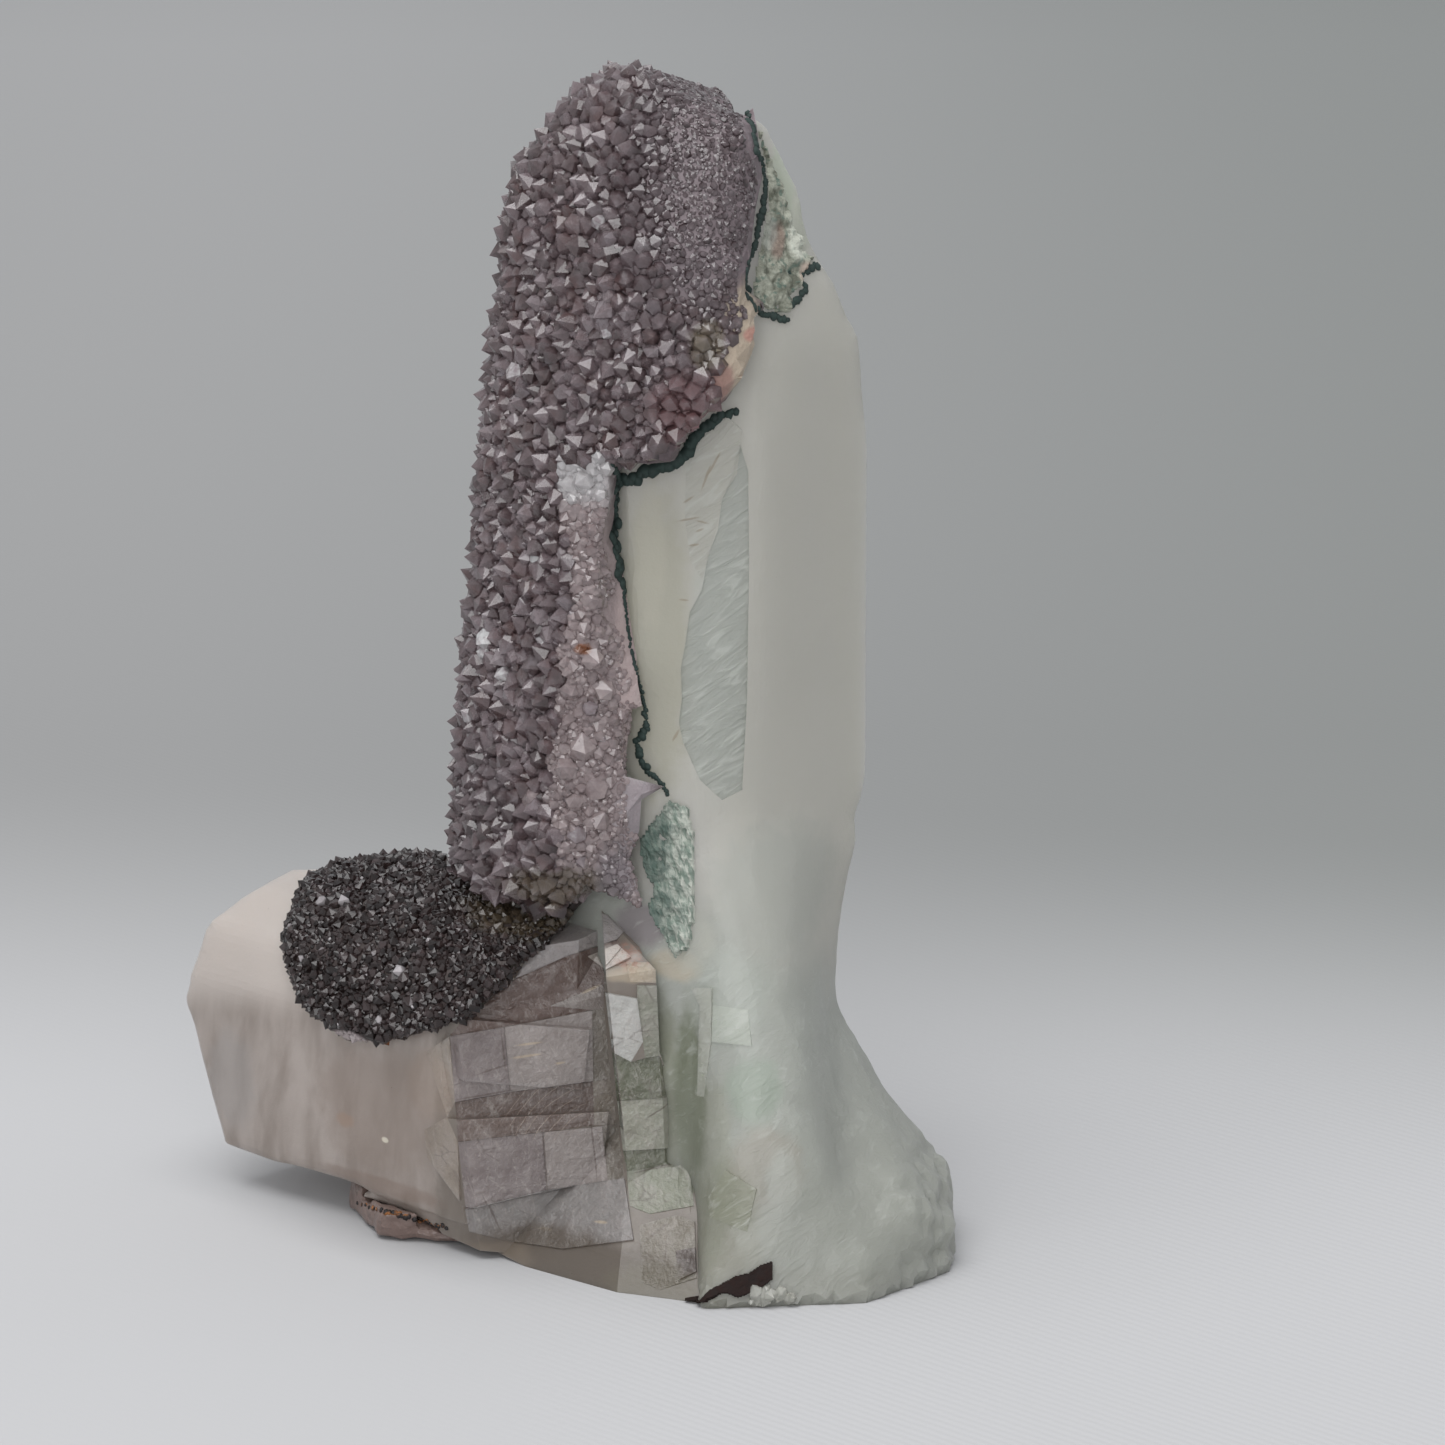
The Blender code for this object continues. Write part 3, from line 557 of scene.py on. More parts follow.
hairs = Amount(milky.add("TexWave", {"wave_type": "RINGS", "rings_direction": "SPHERICAL"}, {
    "Vector": milky.add("VectorMath", {"operation": "SUBTRACT"}, {
        "Vector": milky.place, "Vector_001": tuple(spot(617, 1180, clear_tree)[0] / mm)})["Vector"],
    "Scale": 0.55, "Distortion": 1.6, "Detail": 2.0})["Fac"])
fan = milky.patch(spot(545, 1110, clear_tree)[0], 5.4, 3.4, 0.2)
hair = milky.step(hairs, 0.972, 0.992) * fan
colour = milky.mix(hair * 0.4, colour, tint(170, 154, 142))
milky_stone = milky.stone({
    "Base Color": colour,
    "Roughness": 0.22 + speck * 0.2,
    "IOR": 1.535,
    "Transmission Weight": 0.4,
    "Subsurface Weight": 0.35,
    "Subsurface Radius": (1.0, 0.9, 0.85),
    "Subsurface Scale": 0.004,
    "Normal": milky.bump(mottle * Amount(own["Alpha"]), 0.35, milky.bump(speck, 0.03)),
}, (0.90, 0.84, 0.80), 14.0)
clear = piece("short_crystal", clear_shape, milky_stone)
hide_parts("clear_crystal")


# ---------------------------------------------------------------------------------------
# The druse on the tall crystal: a crust of thousands of small six-sided amethyst points
# that grew outwards side by side. In front it is broken off, and there its smooth,
# mauve underside of chalcedony shows, with a rind of larger clear points beside it.
# ---------------------------------------------------------------------------------------
def skin_of(node, hosts, smoothing, trim=()):
    """The crust without its points: smoothed outside, and as it was against the crystals."""
    bm = bmesh.new()
    bm.from_mesh(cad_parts[node].data)
    bmesh.ops.remove_doubles(bm, verts=bm.verts, dist=1e-7)
    for start, end in trim:
        side = line_of_sight(*start).cross(line_of_sight(*end)).normalized()
        cut = bmesh.ops.bisect_plane(bm, geom=bm.verts[:] + bm.edges[:] + bm.faces[:], dist=1e-8,
                                     plane_co=camera.location, plane_no=side, clear_outer=True)
        rim = [item for item in cut["geom_cut"] if isinstance(item, bmesh.types.BMEdge)]
        bmesh.ops.holes_fill(bm, edges=rim)
    bmesh.ops.triangulate(bm, faces=bm.faces)
    free = [v for v in bm.verts if min(tree.find_nearest(v.co)[3] for tree in hosts) > 0.9 * mm]
    for _ in range(smoothing):
        bmesh.ops.smooth_vert(bm, verts=free, factor=0.5, use_axis_x=True, use_axis_y=True,
                              use_axis_z=True)
    bm.normal_update()
    settle(bm, hosts)
    return bm, {v.index for v in free}


def seeds(bm, free, habit):
    """Places on the free skin where points grow. Big ones take their room first."""
    faces = [f for f in bm.faces if sum(v.index in free for v in f.verts) > 1]
    weights = [f.calc_area() for f in faces]
    taken = {}
    found = []
    for size, step in ((1.5, 0.7), (1.1, 0.4), (0.75, 0.2)):
        for face in chance.choices(faces, weights, k=int(sum(weights) / (step * mm) ** 2)):
            u, v = sorted((chance.random(), chance.random()))
            a, b, c = (corner.co for corner in face.verts)
            at = a * u + b * (v - u) + c * (1 - v)
            wanted = habit(at, face.normal)
            if not wanted:
                continue
            girth, height, packing, pale = wanted
            girth *= size
            cell = tuple(int(math.floor(k / mm / 2)) for k in at)
            near = [seed for dx in (-1, 0, 1) for dy in (-1, 0, 1) for dz in (-1, 0, 1)
                    for seed in taken.get((cell[0] + dx, cell[1] + dy, cell[2] + dz), ())]
            if all((seed - at).length > (girth + other) * packing * mm for seed, other in near):
                taken.setdefault(cell, []).append((at, girth))
                found.append([at, face.normal.copy(), girth, chance.random(), height, pale])
    return found


def glint(sites, marks, crystals, how_many=2):
    """Paints glints: gives the brightest tone, a painted highlight, to the points that flash at marked places of the
    picture.
    """
    for across, down in marks:
        place = spot(across, down, *crystals)[0]
        for site in sorted(sites, key=lambda site: (site[0] - place).length)[:how_many]:
            site[3] = 1.5


def grow(name, sites, material, lean):
    """Grows one quartz point on each site: a short six-sided prism under a pyramid."""
    batches = []
    for start in range(0, len(sites), 150):
        bm = bmesh.new()
        tone = bm.faces.layers.float.new("tone")
        pallor = bm.faces.layers.float.new("pale")
        rise = bm.verts.layers.float.new("rise")
        for at, facing, girth, shade, height, pale in sites[start:start + 150]:
            girth *= mm
            stub = girth * chance.uniform(0.0, 0.5) * height
            stray = Vector((chance.gauss(0, 1), chance.gauss(0, 1), chance.gauss(0, 1)))
            way = (facing + stray * lean).normalized()
            turn = way.to_track_quat("Z", "Y") @ Quaternion((0, 0, 1), chance.uniform(0, 1.05))
            stand = Matrix.Translation(at - way * girth * 0.3) @ turn.to_matrix().to_4x4()
            made = bmesh.ops.create_cone(
                bm, cap_ends=True, segments=6, radius1=girth, radius2=girth * 0.93,
                depth=(stub + girth * 0.3) * 2, matrix=stand)["verts"]
            top = max({f for v in made for f in v.link_faces},
                      key=lambda f: (f.calc_center_median() - at).dot(way))
            tip = bmesh.ops.poke(bm, faces=[top])["verts"][0]
            tip.co += way * girth * chance.uniform(0.7, 1.15) * height
            tip.co += turn @ Vector((chance.gauss(0, 0.25), chance.gauss(0, 0.25), 0)) * girth
            for vert in made:
                vert[rise] = 0.5 if (vert.co - at).dot(way) > 0 else 0.0
            tip[rise] = 1.0
            for face in {f for v in made for f in v.link_faces}:
                # Each facet's tone is shifted at random, partly painted reflection for facets that catch the light
                # differently; glint tones above one are kept.
                face[tone] = shade + (0 if shade > 1 else chance.gauss(0, 0.12))
                face[pallor] = pale
        mesh = bpy.data.meshes.new(name)
        bm.to_mesh(mesh)
        bm.free()
        mesh.materials.append(material)
        batches.append(bpy.data.objects.new(name, mesh))
        bpy.context.scene.collection.objects.link(batches[-1])
    with bpy.context.temp_override(active_object=batches[0], selected_editable_objects=batches):
        bpy.ops.object.join()
    whole = batches[0]
    whole.data.name = name
    whole.name = name
    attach(whole, "root")
    return whole


def beside(route, across, down):
    """How far a point of the picture lies from the edge of a seam, in picture points."""
    nearest = 99
    for (x0, y0, r0), (x1, y1, r1) in zip(route, route[1:]):
        run = Vector((x1 - x0, y1 - y0))
        share = min(1, max(0, Vector((across - x0, down - y0)).dot(run) / run.length_squared))
        away = math.dist((across, down), (x0 + run.x * share, y0 + run.y * share))
        nearest = min(nearest, away - (r0 + (r1 - r0) * share) / 0.0635)
    return nearest


seam_routes = (
    ((748, 113, .26), (752, 130, .34), (757, 152, .34), (763, 165, .2), (766, 185, .24),
     (763, 205, .28), (758, 225, .28), (755, 245, .24), (749, 262, .24), (745, 285, .28),
     (747, 298, .3), (756, 308, .26), (766, 315, .28), (780, 318, .28), (790, 322, .2)),
    ((791, 305, .26), (806, 290, .28), (800, 276, .15), (815, 266, .28), (826, 262, .3)),
    ((735, 411, .28), (722, 415, .38), (708, 425, .36), (697, 437, .36), (688, 450, .4),
     (679, 460, .5), (665, 465, .45), (652, 470, .5), (640, 475, .4), (628, 481, .46),
     (619, 480, .5), (611, 464, .2)),
    ((616, 484, .36), (617, 500, .3), (615, 520, .4), (614, 540, .5), (617, 558, .46),
     (620, 575, .4), (624, 590, .24), (626, 610, .18), (628, 630, .17), (631, 650, .17),
     (636, 670, .17), (641, 690, .17), (645, 710, .2), (647, 728, .22), (641, 736, .32),
     (635, 742, .28), (640, 758, .3), (648, 771, .28), (656, 778, .22), (663, 785, .2),
     (668, 797, .2)))
rind_edge = [(560, 462), (612, 455), (620, 500), (618, 560), (628, 610), (634, 650), (648, 710), (652, 730),
             (645, 755), (670, 797), (640, 838), (658, 893), (640, 920), (600, 905), (575, 890),
             (556, 850), (546, 780), (556, 720), (558, 660), (572, 600), (570, 540), (558, 500)]
bare_edge = [(716, 405), (712, 385), (722, 355), (738, 332), (748, 312), (806, 312), (806, 370), (785, 412),
             (737, 416)]
bare_ledge = [(640, 745), (652, 765), (678, 797), (660, 836), (632, 838), (624, 800), (630, 765)]
lavender_edge = [(612, 600), (634, 600), (652, 700), (656, 730), (648, 752), (672, 797), (640, 838), (660, 893),
                 (645, 925), (612, 905), (618, 850), (612, 790), (622, 740), (612, 680)]


def on_crust(at, facing):
    """Girth, height, closeness and paleness of the points at a place on the big crust."""
    at = at / mm
    fine = rising(at.x, 4.0, 8.5) * rising(at.z + 0.5 * at.x, 64, 71)
    girth, height, packing, pale = 0.5 + 0.1 * noise.noise(at * 0.22), 1.0, 0.56, 0.0
    across, down = seen_at(at * mm)
    if at.y < -3 and (inside(bare_edge, across, down) or inside(bare_ledge, across, down)):
        return None
    if facing.dot((camera.location - at * mm).normalized()) > -0.4 and across > 540:
        if any(beside(route, across, down) < (9 if route[0][0] == 735 else 5) for route in seam_routes):
            return None
        if inside(lavender_edge, across, down):
            return 0.24, 0.35, 0.6, 1.0
        if inside(rind_edge, across + 8 * noise.noise(at), down):
            girth, height, packing, pale = 0.34, 0.65, 0.44, 1.0
            if down < 520:
                pale = 1.9 - 0.9 * rising(down, 485, 520)
    return girth * (1 - 0.58 * fine), height * (1 - 0.65 * fine), packing, pale


crust_shape, crust_free = skin_of("druse_crust", crystals, 6)
crust_tree = BVHTree.FromBMesh(crust_shape)
crust_sites = seeds(crust_shape, crust_free, on_crust)
# Painted glints: the point nearest each mark gets the brightest tone.
glint(crust_sites, (
    (655, 238), (648, 246), (515, 240), (595, 222), (515, 343), (487, 380), (495, 490), (458, 635),
    (503, 672), (535, 560), (470, 717), (512, 735), (440, 770), (540, 640), (520, 455), (450, 650),
    (560, 452), (480, 545), (525, 165), (610, 335), (755, 150), (733, 133),
    (706, 195), (706, 307), (627, 387), (485, 690)), (crust_tree,), 1)
# Larger points of the rind; those with a tone above one carry a painted glint and are not made pale.
for across, down, girth, shade in (
        (577, 833, 0.75, 1.25), (590, 708, 0.6, 1.1), (583, 743, 1.0, 0.75), (592, 658, 0.8, 1.0),
        (572, 613, 0.5, 1.3), (602, 738, 0.35, 1.4), (580, 860, 0.45, 1.1), (558, 883, 0.4, 1.2),
        (596, 788, 0.9, 0.7), (566, 768, 0.8, 0.5), (535, 800, 1.0, 0.3), (575, 800, 0.7, 0.8),
        (604, 690, 0.8, 0.9), (570, 690, 0.7, 0.4), (600, 820, 0.8, 0.5), (590, 600, 0.7, 0.7)):
    place, facing = spot(across, down, crust_tree)
    crust_sites.append([place, (facing + Vector((0, -0.5, 0.4))).normalized(), girth, shade, 0.8,
                        0.0 if shade > 1 else 1.0])
for across, down, girth in ((572, 468, 0.7), (588, 463, 0.8), (604, 468, 0.6), (570, 484, 0.6),
                            (584, 482, 0.8), (574, 500, 0.5)):
    place, facing = spot(across, down, crust_tree)
    crust_sites.append([place, facing, girth, chance.uniform(0.6, 1.0), 0.6, 1.8])

bed = Finish("crust_bed")
mottle = bed.cloud(0.9, 5, 0.6)
fineness = bed.cloud(0.22, 3)
smooth_part = bed.patch(spot(705, 175, crust_tree)[0], 10.5, 18, 0.25, 0.4)
# The bed's dark tones are partly the crust's own colour and partly painted shade in the crevices between the points.
colour = bed.mix(mottle, tint(48, 40, 42), tint(80, 70, 73))
colour = bed.mix(smooth_part, colour, bed.mix(mottle, tint(76, 67, 70), tint(102, 92, 95)))
for across, down, wide, tall, share, tone in (
        (600, 690, 5.0, 26, 0.9, tint(122, 110, 110)),
        (630, 650, 1.8, 20, 0.9, tint(138, 124, 123)),
        (636, 830, 3.0, 9.0, 0.9, tint(118, 111, 114)),
        (650, 795, 2.4, 4.0, 0.9, tint(134, 125, 128)),
        (585, 490, 3.2, 4.4, 0.9, tint(150, 146, 147)),
        (690, 410, 5.5, 4.5, 0.8, tint(96, 72, 73)),
        (742, 350, 3.4, 7.5, 1.0, tint(140, 128, 114)),
        (722, 385, 1.6, 2.6, 0.7, tint(118, 86, 81)),
        (752, 334, 1.2, 0.9, 0.7, tint(140, 96, 88)),
        (765, 340, 1.2, 2.2, 0.9, tint(150, 108, 98)),
        (706, 345, 2.2, 3.0, 0.7, tint(104, 96, 80)),
        (570, 893, 5.0, 2.0, 0.8, tint(104, 96, 76))):
    place = spot(across, down, crust_tree)[0]
    colour = bed.mix(bed.patch(place, wide, tall) * share, colour, tone)
crust_bed = bed.stone({
    "Base Color": colour,
    "Roughness": 0.42 + fineness * 0.25,
    "IOR": 1.54,
    "Subsurface Weight": 0.25,
    "Subsurface Radius": (1.0, 0.85, 0.85),
    "Subsurface Scale": 0.0015,
    "Normal": bed.bump(mottle, 0.25, bed.bump(fineness, 0.05)),
})
crust = piece("crust_skin", crust_shape, crust_bed)
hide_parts("druse_crust")

amethyst = Finish("amethyst_points")
tone = Amount(amethyst.add("Attribute", {"attribute_name": "tone"})["Fac"])
rise = Amount(amethyst.add("Attribute", {"attribute_name": "rise"})["Fac"])
pale = Amount(amethyst.add("Attribute", {"attribute_name": "pale"})["Fac"])
zone = amethyst.cloud(7, 3)
haze = amethyst.cloud(0.35, 4, 0.6)
# The ramp's near-white top stop is the painted glint: only points given the glint tone reach it.
colour = amethyst.add("ValToRGB", {"stops": [
    (0.0, tint(58, 47, 47)), (0.3, tint(86, 73, 74)), (0.6, tint(114, 101, 104)),
    (0.85, tint(150, 140, 143)), (1.0, tint(232, 229, 230))]}, {
    "Fac": tone * 0.45 + zone * 0.45 + haze * 0.5 - 0.24})["Color"]
warm = amethyst.step(amethyst.cloud(2.2, 4, 0.6), 0.48, 0.7)
colour = amethyst.mix(warm * 0.55, colour, tint(92, 68, 66))
ashy = amethyst.step(amethyst.cloud(1.4, 3, 0.5), 0.56, 0.74)
colour = amethyst.mix(ashy * 0.35, colour, tint(142, 136, 142))
smooth_part = amethyst.patch(spot(705, 175, crust_tree)[0], 11.5, 19, 0.25, 0.4)
colour = amethyst.mix(smooth_part * 0.8, colour, amethyst.mix(haze, tint(60, 50, 53), tint(94, 83, 86)))
rind = amethyst.add("ValToRGB", {"stops": [
    (0.0, tint(106, 93, 93)), (0.4, tint(138, 124, 124)), (0.75, tint(162, 149, 148)),
    (1.0, tint(200, 192, 192))]}, {"Fac": tone * 0.4 + haze * 0.9 - 0.2})["Color"]
colour = amethyst.mix(amethyst.step(pale, 0.0, 1.0), colour, rind)
colour = amethyst.mix(amethyst.step(pale, 1.0, 2.0), colour, amethyst.mix(
    haze, tint(156, 151, 152), tint(206, 203, 203)))
for across, down, wide, tall, share, tone in (
        (690, 410, 5.0, 4.5, 0.6, tint(106, 76, 77)),
        (706, 345, 2.2, 3.0, 0.6, tint(108, 100, 82)),
        (560, 888, 7.0, 2.6, 0.8, tint(84, 74, 60)),
        (640, 870, 2.6, 5.0, 0.6, tint(112, 106, 112)),
        (470, 800, 6.0, 9.0, 0.4, tint(74, 66, 68)),
        (583, 648, 1.1, 0.8, 0.95, tint(132, 84, 56))):
    place = spot(across, down, crust_tree)[0]
    colour = amethyst.mix(amethyst.patch(place, wide, tall) * share, colour, tone)
# Painted shade: each point darkens towards its foot, as in the crevices between points; the rind's pale points less
# so.
colour = amethyst.mix((1 - amethyst.step(rise, 0.0, 0.6)) * (1 - amethyst.step(pale, 0.0, 1.0) * 0.8),
                      colour, tint(50, 39, 40))
# Painted highlight: the tips are lightened a little.
colour = amethyst.mix(amethyst.step(rise, 0.6, 1.0) * 0.15, colour, tint(170, 160, 164))
points_stone = amethyst.stone({
    "Base Color": colour,
    "Roughness": 0.05 + haze * 0.2,
    "IOR": 1.544,
    "Transmission Weight": 0.55,
    "Specular IOR Level": 0.7,
})
grow("amethyst_points", crust_sites, points_stone, 0.3)


# ---------------------------------------------------------------------------------------
# The darker druse on top of the short crystal: finer, almost black-brown points on a bed
# stained by iron.
# ---------------------------------------------------------------------------------------
cap_shape, cap_free = skin_of("druse_cap", crystals, 4, [((468, 1018), (601, 884))])
cap_tree = BVHTree.FromBMesh(cap_shape)
cap_sites = seeds(cap_shape, cap_free, lambda at, facing: (
    0.27 + 0.08 * noise.noise(at / mm * 0.4), 0.9, 0.56, 0.0))
# Painted glints: the point nearest each mark gets the brightest tone.
glint(cap_sites, ((410, 1003), (408, 998), (340, 1036), (350, 1041), (360, 1044), (369, 1046), (333, 1031),
                  (412, 1008), (500, 900), (455, 885), (290, 925), (332, 940), (318, 905), (360, 880), (485, 905), (465, 930), (398, 970),
                  (380, 1020), (300, 960), (430, 940), (350, 900)), (cap_tree,), 1)
place, facing = spot(409, 1003, cap_tree)
cap_sites.append([place, (facing + Vector((0.4, -0.6, 0.2))).normalized(), 0.55, 0.9, 0.9, 0.0])

dusk = Finish("smoky_points")
tone = Amount(dusk.add("Attribute", {"attribute_name": "tone"})["Fac"])
rise = Amount(dusk.add("Attribute", {"attribute_name": "rise"})["Fac"])
haze = dusk.cloud(3, 4)
# The ramp's light top stop is the painted glint, reached only by points given the glint tone.
colour = dusk.add("ValToRGB", {"stops": [
    (0.0, tint(20, 15, 14)), (0.5, tint(40, 32, 31)),
    (0.85, tint(64, 55, 55)), (1.0, tint(150, 145, 147))]}, {
    "Fac": tone * 0.6 + haze * 0.4 - 0.05})["Color"]
for across, down, wide, tall, share, stain in (
        (350, 1040, 2.6, 1.0, 0.8, tint(150, 140, 140)), (388, 1046, 1.2, 0.6, 0.8, tint(130, 84, 56)),
        (530, 905, 8.0, 2.2, 0.5, tint(84, 74, 58))):
    place = spot(across, down, cap_tree)[0]
    colour = dusk.mix(dusk.patch(place, wide, tall) * share, colour, stain)
# Painted shade: each point darkens towards its foot, as in the crevices between points.
colour = dusk.mix(1 - dusk.step(rise, 0.0, 0.6), colour, tint(24, 19, 19))
smoky_stone = dusk.stone({
    "Base Color": colour,
    "Roughness": 0.12 + haze * 0.1,
    "IOR": 1.544,
    "Transmission Weight": 0.35,
    "Specular IOR Level": 0.4,
})
shade = Finish("cap_bed")
grit = shade.cloud(0.6, 5)
cap_bed = shade.stone({
    "Base Color": shade.mix(grit, tint(30, 24, 24), tint(62, 54, 52)),
    "Roughness": 0.5 + grit * 0.2,
    "Normal": shade.bump(grit, 0.2),
})
cap = piece("cap_skin", cap_shape, cap_bed)
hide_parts("druse_cap")
grow("cap_points", cap_sites, smoky_stone, 0.34)


# ---------------------------------------------------------------------------------------
# The chip of crust under the short crystal, seen edge on: pinkish quartz with a dark line
# along its top where it met the crystal.
# ---------------------------------------------------------------------------------------
chip_shape = rough_copy("druse_chip")
scored(chip_shape, 0.5)
for _ in range(3):
    bmesh.ops.smooth_vert(chip_shape, verts=chip_shape.verts, factor=0.5, use_axis_x=True, use_axis_y=True,
                          use_axis_z=True)
chip_shape.normal_update()
for vert in chip_shape.verts:
    vert.co += vert.normal * mm * (0.12 + 0.22 * noise.noise(vert.co / mm * 0.9))
chip_tree = BVHTree.FromBMesh(chip_shape)
rosy = Finish("pinkish_quartz")
mottle = rosy.cloud(1.1, 5)
chip = piece("chip", chip_shape, rosy.stone({
    "Base Color": rosy.mix(mottle, tint(86, 69, 64), tint(126, 110, 104)),
    "Roughness": 0.25 + mottle * 0.2,
    "IOR": 1.544,
    "Transmission Weight": 0.3,
    "Normal": rosy.bump(mottle, 0.3),
}))
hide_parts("druse_chip")


# ---------------------------------------------------------------------------------------
# The seam of celadonite: an earthy, dark blue-green mineral that lined the contact between
# crust and crystal. It shows as a ragged line of small dark grains along the crust's edge.
# ---------------------------------------------------------------------------------------
def string_of_grains(bm, route, crystals, gap=0.2, flat=0.55):
    """Strings small grains along a route given as across, down and radius in mm."""
    for (x0, y0, r0), (x1, y1, r1) in zip(route, route[1:]):
        run = math.hypot(x1 - x0, y1 - y0) * 0.0635
        for count in range(max(1, round(run / gap))):
            share = count / max(1, round(run / gap))
            size = (r0 + (r1 - r0) * share) * chance.uniform(0.75, 1.2)
            stray = chance.gauss(0, size * 3), chance.gauss(0, size * 3)
            place, facing = spot(x0 + (x1 - x0) * share + stray[0], y0 + (y1 - y0) * share + stray[1],
                                 *crystals)
            turn = facing.to_track_quat("Z", "Y") @ Quaternion((0, 0, 1), chance.uniform(0, 3))
            shape = Matrix.Diagonal((size * chance.uniform(0.8, 1.3), size, size * flat, 1 / mm))
            bmesh.ops.create_icosphere(bm, subdivisions=1, radius=1.0, matrix=(
                Matrix.Translation(place) @ turn.to_matrix().to_4x4() @ shape * mm))


seam = bmesh.new()
for route in seam_routes:
    string_of_grains(seam, route, (green_tree, crust_tree))
earthy = Finish("celadonite")
mottle = earthy.cloud(0.4, 5)
rim = piece("celadonite_seam", seam, earthy.stone({
    "Base Color": earthy.mix(mottle, tint(15, 27, 26), tint(42, 56, 52)),
    "Roughness": 0.6 + mottle * 0.3,
    "Normal": earthy.bump(mottle, 0.1),
}), smooth=True)
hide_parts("celadonite_rim")


# ---------------------------------------------------------------------------------------
# Rough patches on the crystals: a mossy one of celadonite at the seam's lower end, and a
# pale, pitted one at the upper right, where the crust has come away.
# ---------------------------------------------------------------------------------------
def rough_sheet(outline, cell, crystals, lift):
    """A thin sheet of stone that covers an outline on the crystals, tucked in at its edge."""
    left, right = min(x for x, y in outline), max(x for x, y in outline)
    top, foot = min(y for x, y in outline), max(y for x, y in outline)
    bm = bmesh.new()
    bmesh.ops.create_grid(bm, x_segments=round((right - left) / cell),
                          y_segments=round((foot - top) / cell), size=0.5)
    middle = Vector(((left + right) / 2, (top + foot) / 2, 0))
    bmesh.ops.transform(bm, verts=bm.verts, matrix=Matrix.Translation(middle)
                        @ Matrix.Diagonal((right - left, foot - top, 1, 1)))
    out = [v for v in bm.verts if not inside(outline, v.co.x, v.co.y)]
    bmesh.ops.delete(bm, geom=out, context="VERTS")
    edge = {v for v in bm.verts if v.is_boundary}
    for vert in bm.verts:
        across, down = vert.co.x, vert.co.y
        place, facing = spot(across, down, *crystals)
        vert.co = place + facing * mm * (-0.12 if vert in edge else lift(across, down))
    bmesh.ops.reverse_faces(bm, faces=bm.faces)
    bmesh.ops.solidify(bm, geom=bm.faces[:], thickness=0.25 * mm)
    bmesh.ops.recalc_face_normals(bm, faces=bm.faces)
    for vert in bm.verts:
        vert.co.z = max(vert.co.z, 0.05 * mm)
    return bm


def pitted(across, down):
    return 0.22 + 0.35 * noise.noise(Vector((across, down, 0)) * 0.09) + 0.15 * noise.noise(
        Vector((across, down, 5)) * 0.3)


mossy_shape = rough_sheet([(668, 797), (690, 805), (697, 835), (698, 870), (697, 915), (692, 948),
                           (674, 964), (660, 936), (650, 918), (645, 905), (652, 890), (641, 868),
                           (637, 840), (650, 820)], 2.5, (green_tree,), pitted)
moss = Finish("mossy_celadonite")
mottle = moss.cloud(0.8, 5, 0.6)
fibre = moss.cloud(0.5, 4, 0.6, 0.6, moss.turned((0, 20, 0), (1.6, 1, 0.4)))
left_side = 1 - moss.step(moss.x + (mottle - 0.5) * 5, 5.8, 8.4)
colour = moss.mix(moss.step(fibre, 0.4, 0.6), tint(100, 110, 102), tint(144, 147, 139))
colour = moss.mix(left_side * 0.85, colour, tint(52, 68, 62))
colour = moss.mix(moss.step(mottle, 0.56, 0.66) * 0.5, colour, tint(80, 96, 86))
mossy_stone = moss.stone({
    "Base Color": colour,
    "Roughness": 0.5 + mottle * 0.3,
    "Normal": moss.bump(fibre, 0.2),
})
piece("mossy_patch", mossy_shape, mossy_stone)

pitted_shape = rough_sheet([(751, 118), (762, 128), (770, 150), (784, 185), (793, 215), (804, 240),
                            (816, 259), (809, 270), (803, 285), (794, 300), (790, 316), (767, 313),
                            (750, 296), (759, 240), (767, 200), (764, 165)], 2.5, (green_tree,), pitted)
chalky = Finish("chalky_patch")
mottle = chalky.cloud(0.9, 5, 0.6)
dots = chalky.cloud(0.5, 4, 0.6)
colour = chalky.mix(chalky.step(mottle, 0.35, 0.65), tint(76, 78, 68), tint(132, 134, 123))
colour = chalky.mix(chalky.step(dots, 0.52, 0.62) * 0.8, colour, tint(70, 86, 78))
for across, down, wide, tall, share, tone in (
        (777, 240, 1.0, 2.2, 0.7, tint(104, 84, 76)), (768, 232, 1.2, 2.2, 0.6, tint(126, 128, 122)),
        (800, 235, 1.6, 3.0, 0.6, tint(172, 174, 164)), (806, 272, 1.0, 1.4, 0.5, tint(150, 128, 118))):
    place = spot(across, down, green_tree)[0]
    colour = chalky.mix(chalky.patch(place, wide, tall) * share, colour, tone)
piece("chalky_patch", pitted_shape, chalky.stone({
    "Base Color": colour,
    "Roughness": 0.55 + mottle * 0.3,
    "Normal": chalky.bump(dots, 0.25),
}))


# ---------------------------------------------------------------------------------------
# Small things caught in the foot: a dark red-black flake of iron ore in the break, a
# cluster of tiny clear crystals beside it, and a black rim where the chip meets the bar.
# ---------------------------------------------------------------------------------------
flake_shape = rough_sheet([(695, 1305), (708, 1291), (722, 1282), (735, 1275), (748, 1272), (760, 1264),
                           (773, 1260), (774, 1280), (760, 1291), (738, 1299), (724, 1294), (708, 1303)],
                          1.1, crystals, lambda across, down: 0.3)
ore = Finish("iron_ore")
mottle = ore.cloud(0.5, 5)
piece("dark_flake", flake_shape, ore.stone({
    "Base Color": ore.mix(mottle, tint(12, 8, 7), tint(38, 25, 22)),
    "Roughness": 0.55 + mottle * 0.4,
    "Specular IOR Level": 0.25,
    "Normal": ore.bump(mottle, 0.15),
}))

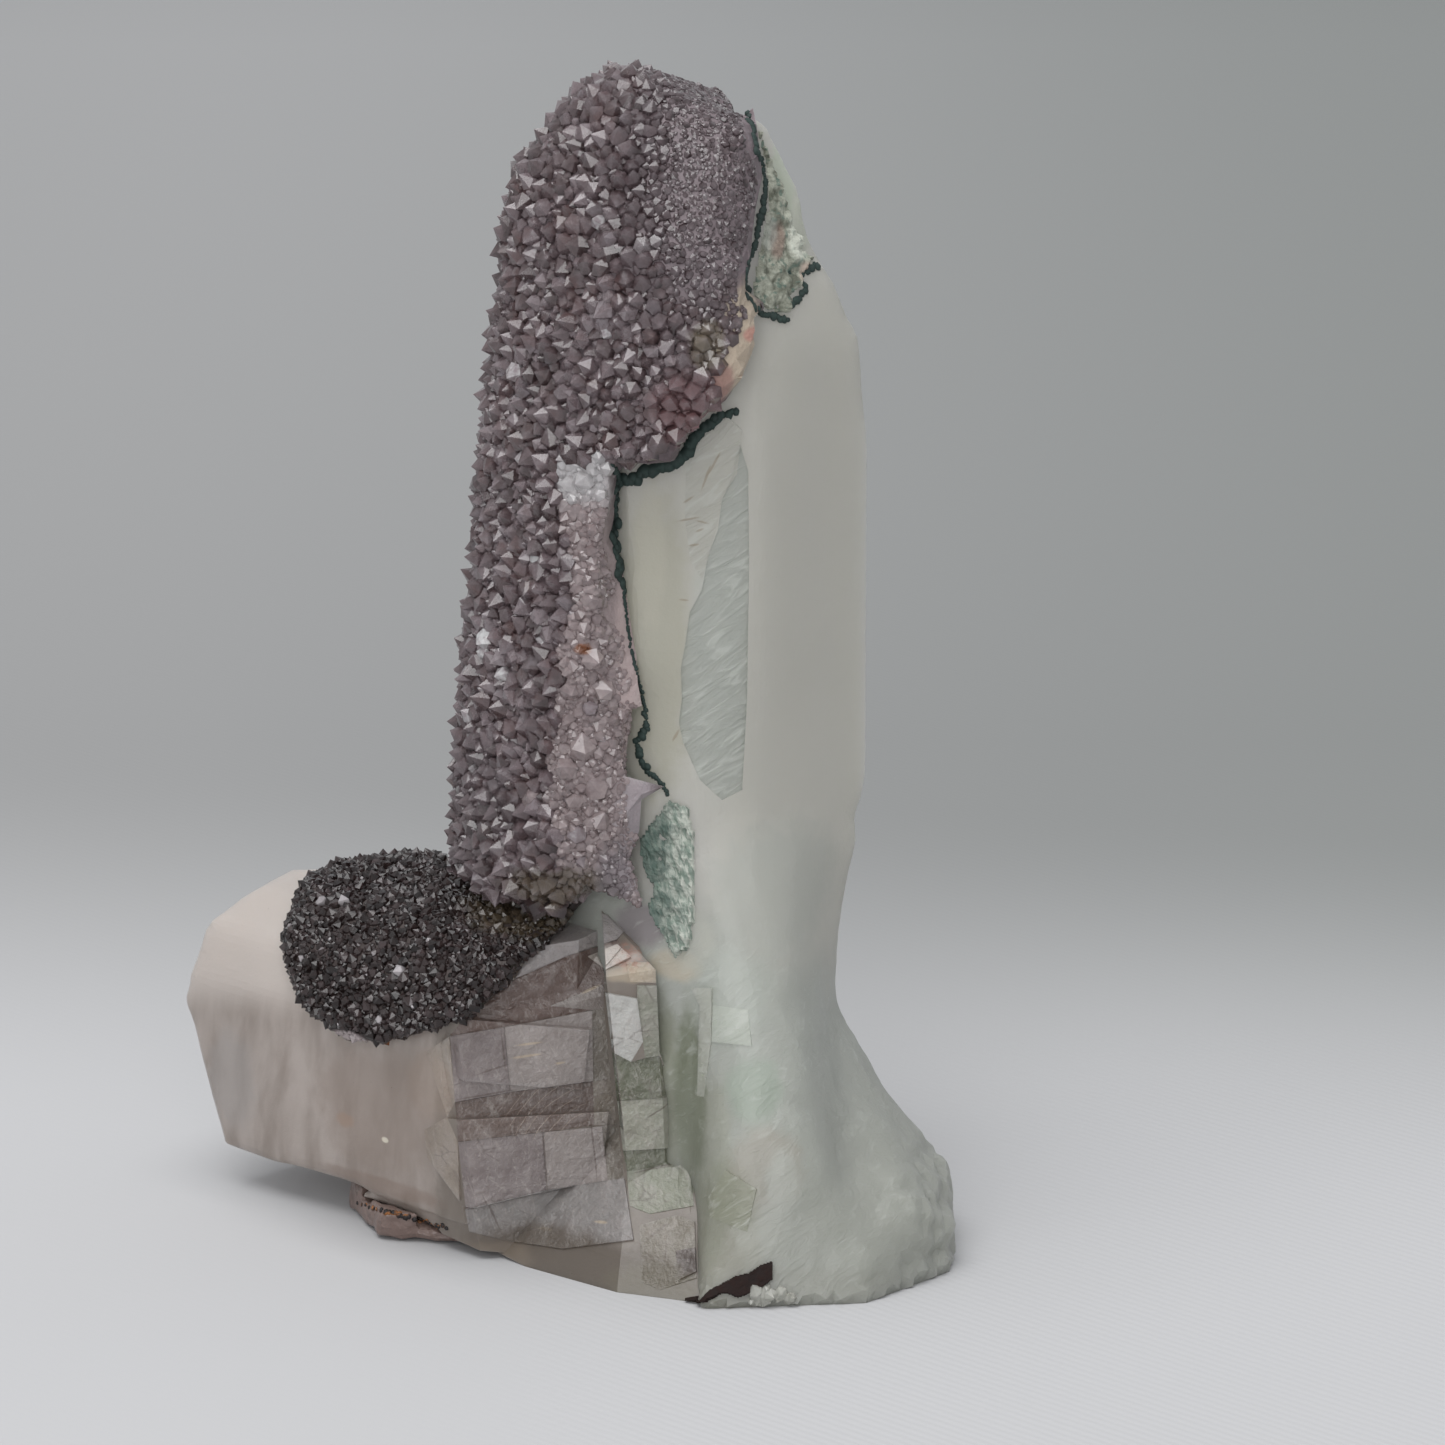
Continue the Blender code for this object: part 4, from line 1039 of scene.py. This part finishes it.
bits = []
for _ in range(46):
    across, down = chance.gauss(768, 13), chance.gauss(1303, 7)
    place, facing = spot(across, down, *crystals)
    girth = min(chance.uniform(0.28, 0.6), place.z / mm / 1.5)
    if girth > 0.2:
        bits.append([place, (facing + Vector((0, -0.2, 0.5))).normalized(), girth,
                     chance.random(), 1.0, 0.0])
glassy = Finish("clear_bits")
mottle = glassy.cloud(0.5, 4)
grow("clear_bits", bits, glassy.stone({
    "Base Color": glassy.mix(mottle, tint(140, 140, 130), tint(196, 196, 190)),
    "Roughness": 0.05 + mottle * 0.15,
    "IOR": 1.535,
    "Transmission Weight": 0.6,
}), 0.6)

rim_line = bmesh.new()
string_of_grains(rim_line, ((358, 1203, .16), (385, 1211, .24), (400, 1215, .2), (420, 1221, .26),
                            (450, 1229, .18)), (clear_tree, chip_tree), 0.24, 0.6)
string_of_grains(rim_line, ((433, 1252, .22), (443, 1258, .34), (453, 1264, .22)), (clear_tree,), 0.2, 0.8)
soot = Finish("black_rim")
mottle = soot.cloud(0.5, 4)
piece("chip_rim", rim_line, soot.stone({
    "Base Color": soot.mix(soot.step(mottle, 0.5, 0.62), tint(28, 24, 24), tint(120, 78, 44)),
    "Roughness": 0.5 + mottle * 0.3,
    "Normal": soot.bump(mottle, 0.1),
}), smooth=True)


# ---------------------------------------------------------------------------------------
# The table: a wide sheet of white twill, lit from above and in front by two soft lamps. Its
# colour is painted shade that falls off to grey behind the specimen, darker to the right.
# ---------------------------------------------------------------------------------------
sheet = bmesh.new()
bmesh.ops.create_grid(sheet, x_segments=4, y_segments=4, size=1.6)
mesh = bpy.data.meshes.new("cloth")
sheet.to_mesh(mesh)
sheet.free()
cloth = bpy.data.objects.new("cloth", mesh)
bpy.context.scene.collection.objects.link(cloth)
linen = Finish("white_cloth")
weave = Amount(linen.add("TexWave", {"wave_type": "BANDS", "bands_direction": "DIAGONAL"}, {
    "Vector": linen.place, "Scale": 0.62, "Distortion": 0.6, "Detail": 1.0})["Fac"])
# Painted shade: the cloth's colour falls off to grey behind the specimen, and more so to the right.
painted_falloff = linen.step(linen.y + linen.x * 0.18, 12, 107)
painted_falloff_further = Amount(linen.add("MapRange", {}, {
    "Value": linen.y, "From Min": 121.0, "From Max": 450.0})["Result"])
painted_dim_aside = linen.step(linen.x, -60, 110)
painted_grey_behind = linen.mix(painted_falloff_further, linen.mix(painted_dim_aside, (0.277, 0.277, 0.277), (0.210, 0.218, 0.212)),
                   linen.mix(painted_dim_aside, (0.415, 0.415, 0.415), (0.292, 0.302, 0.294)))
colour = linen.mix(painted_falloff, linen.mix(linen.cloud(40, 2), (0.452, 0.452, 0.459), (0.464, 0.464, 0.472)), painted_grey_behind)
mesh.materials.append(linen.stone({
    "Base Color": colour,
    "Roughness": 0.85 + weave * 0.05,
    "Normal": linen.bump(weave * (1 - linen.step(linen.y, 20, 60)) * linen.step(linen.x, -15, 15), 0.014),
}))

world = bpy.data.worlds.new("room")
bpy.context.scene.world = world
world.use_nodes = True
world.node_tree.nodes["Background"].inputs["Color"].default_value = (0.95, 0.97, 1.0, 1)
world.node_tree.nodes["Background"].inputs["Strength"].default_value = 0.62
for name, place, size, power, target in (
        ("soft_lamp", (-0.10, -0.12, 0.60), 0.50, 3.0, (0, 0, 0.02)),
        ("window", (-0.10, -0.90, 0.30), 0.60, 3.6, (0, 0, 0.03))):
    lamp = bpy.data.lights.new(name, "AREA")
    lamp.size = size
    lamp.energy = power
    holder = bpy.data.objects.new(name, lamp)
    holder.location = place
    holder.rotation_euler = (Vector(place) - Vector(target)).to_track_quat("Z", "Y").to_euler()
    bpy.context.scene.collection.objects.link(holder)
bpy.context.scene.view_settings.view_transform = "Standard"
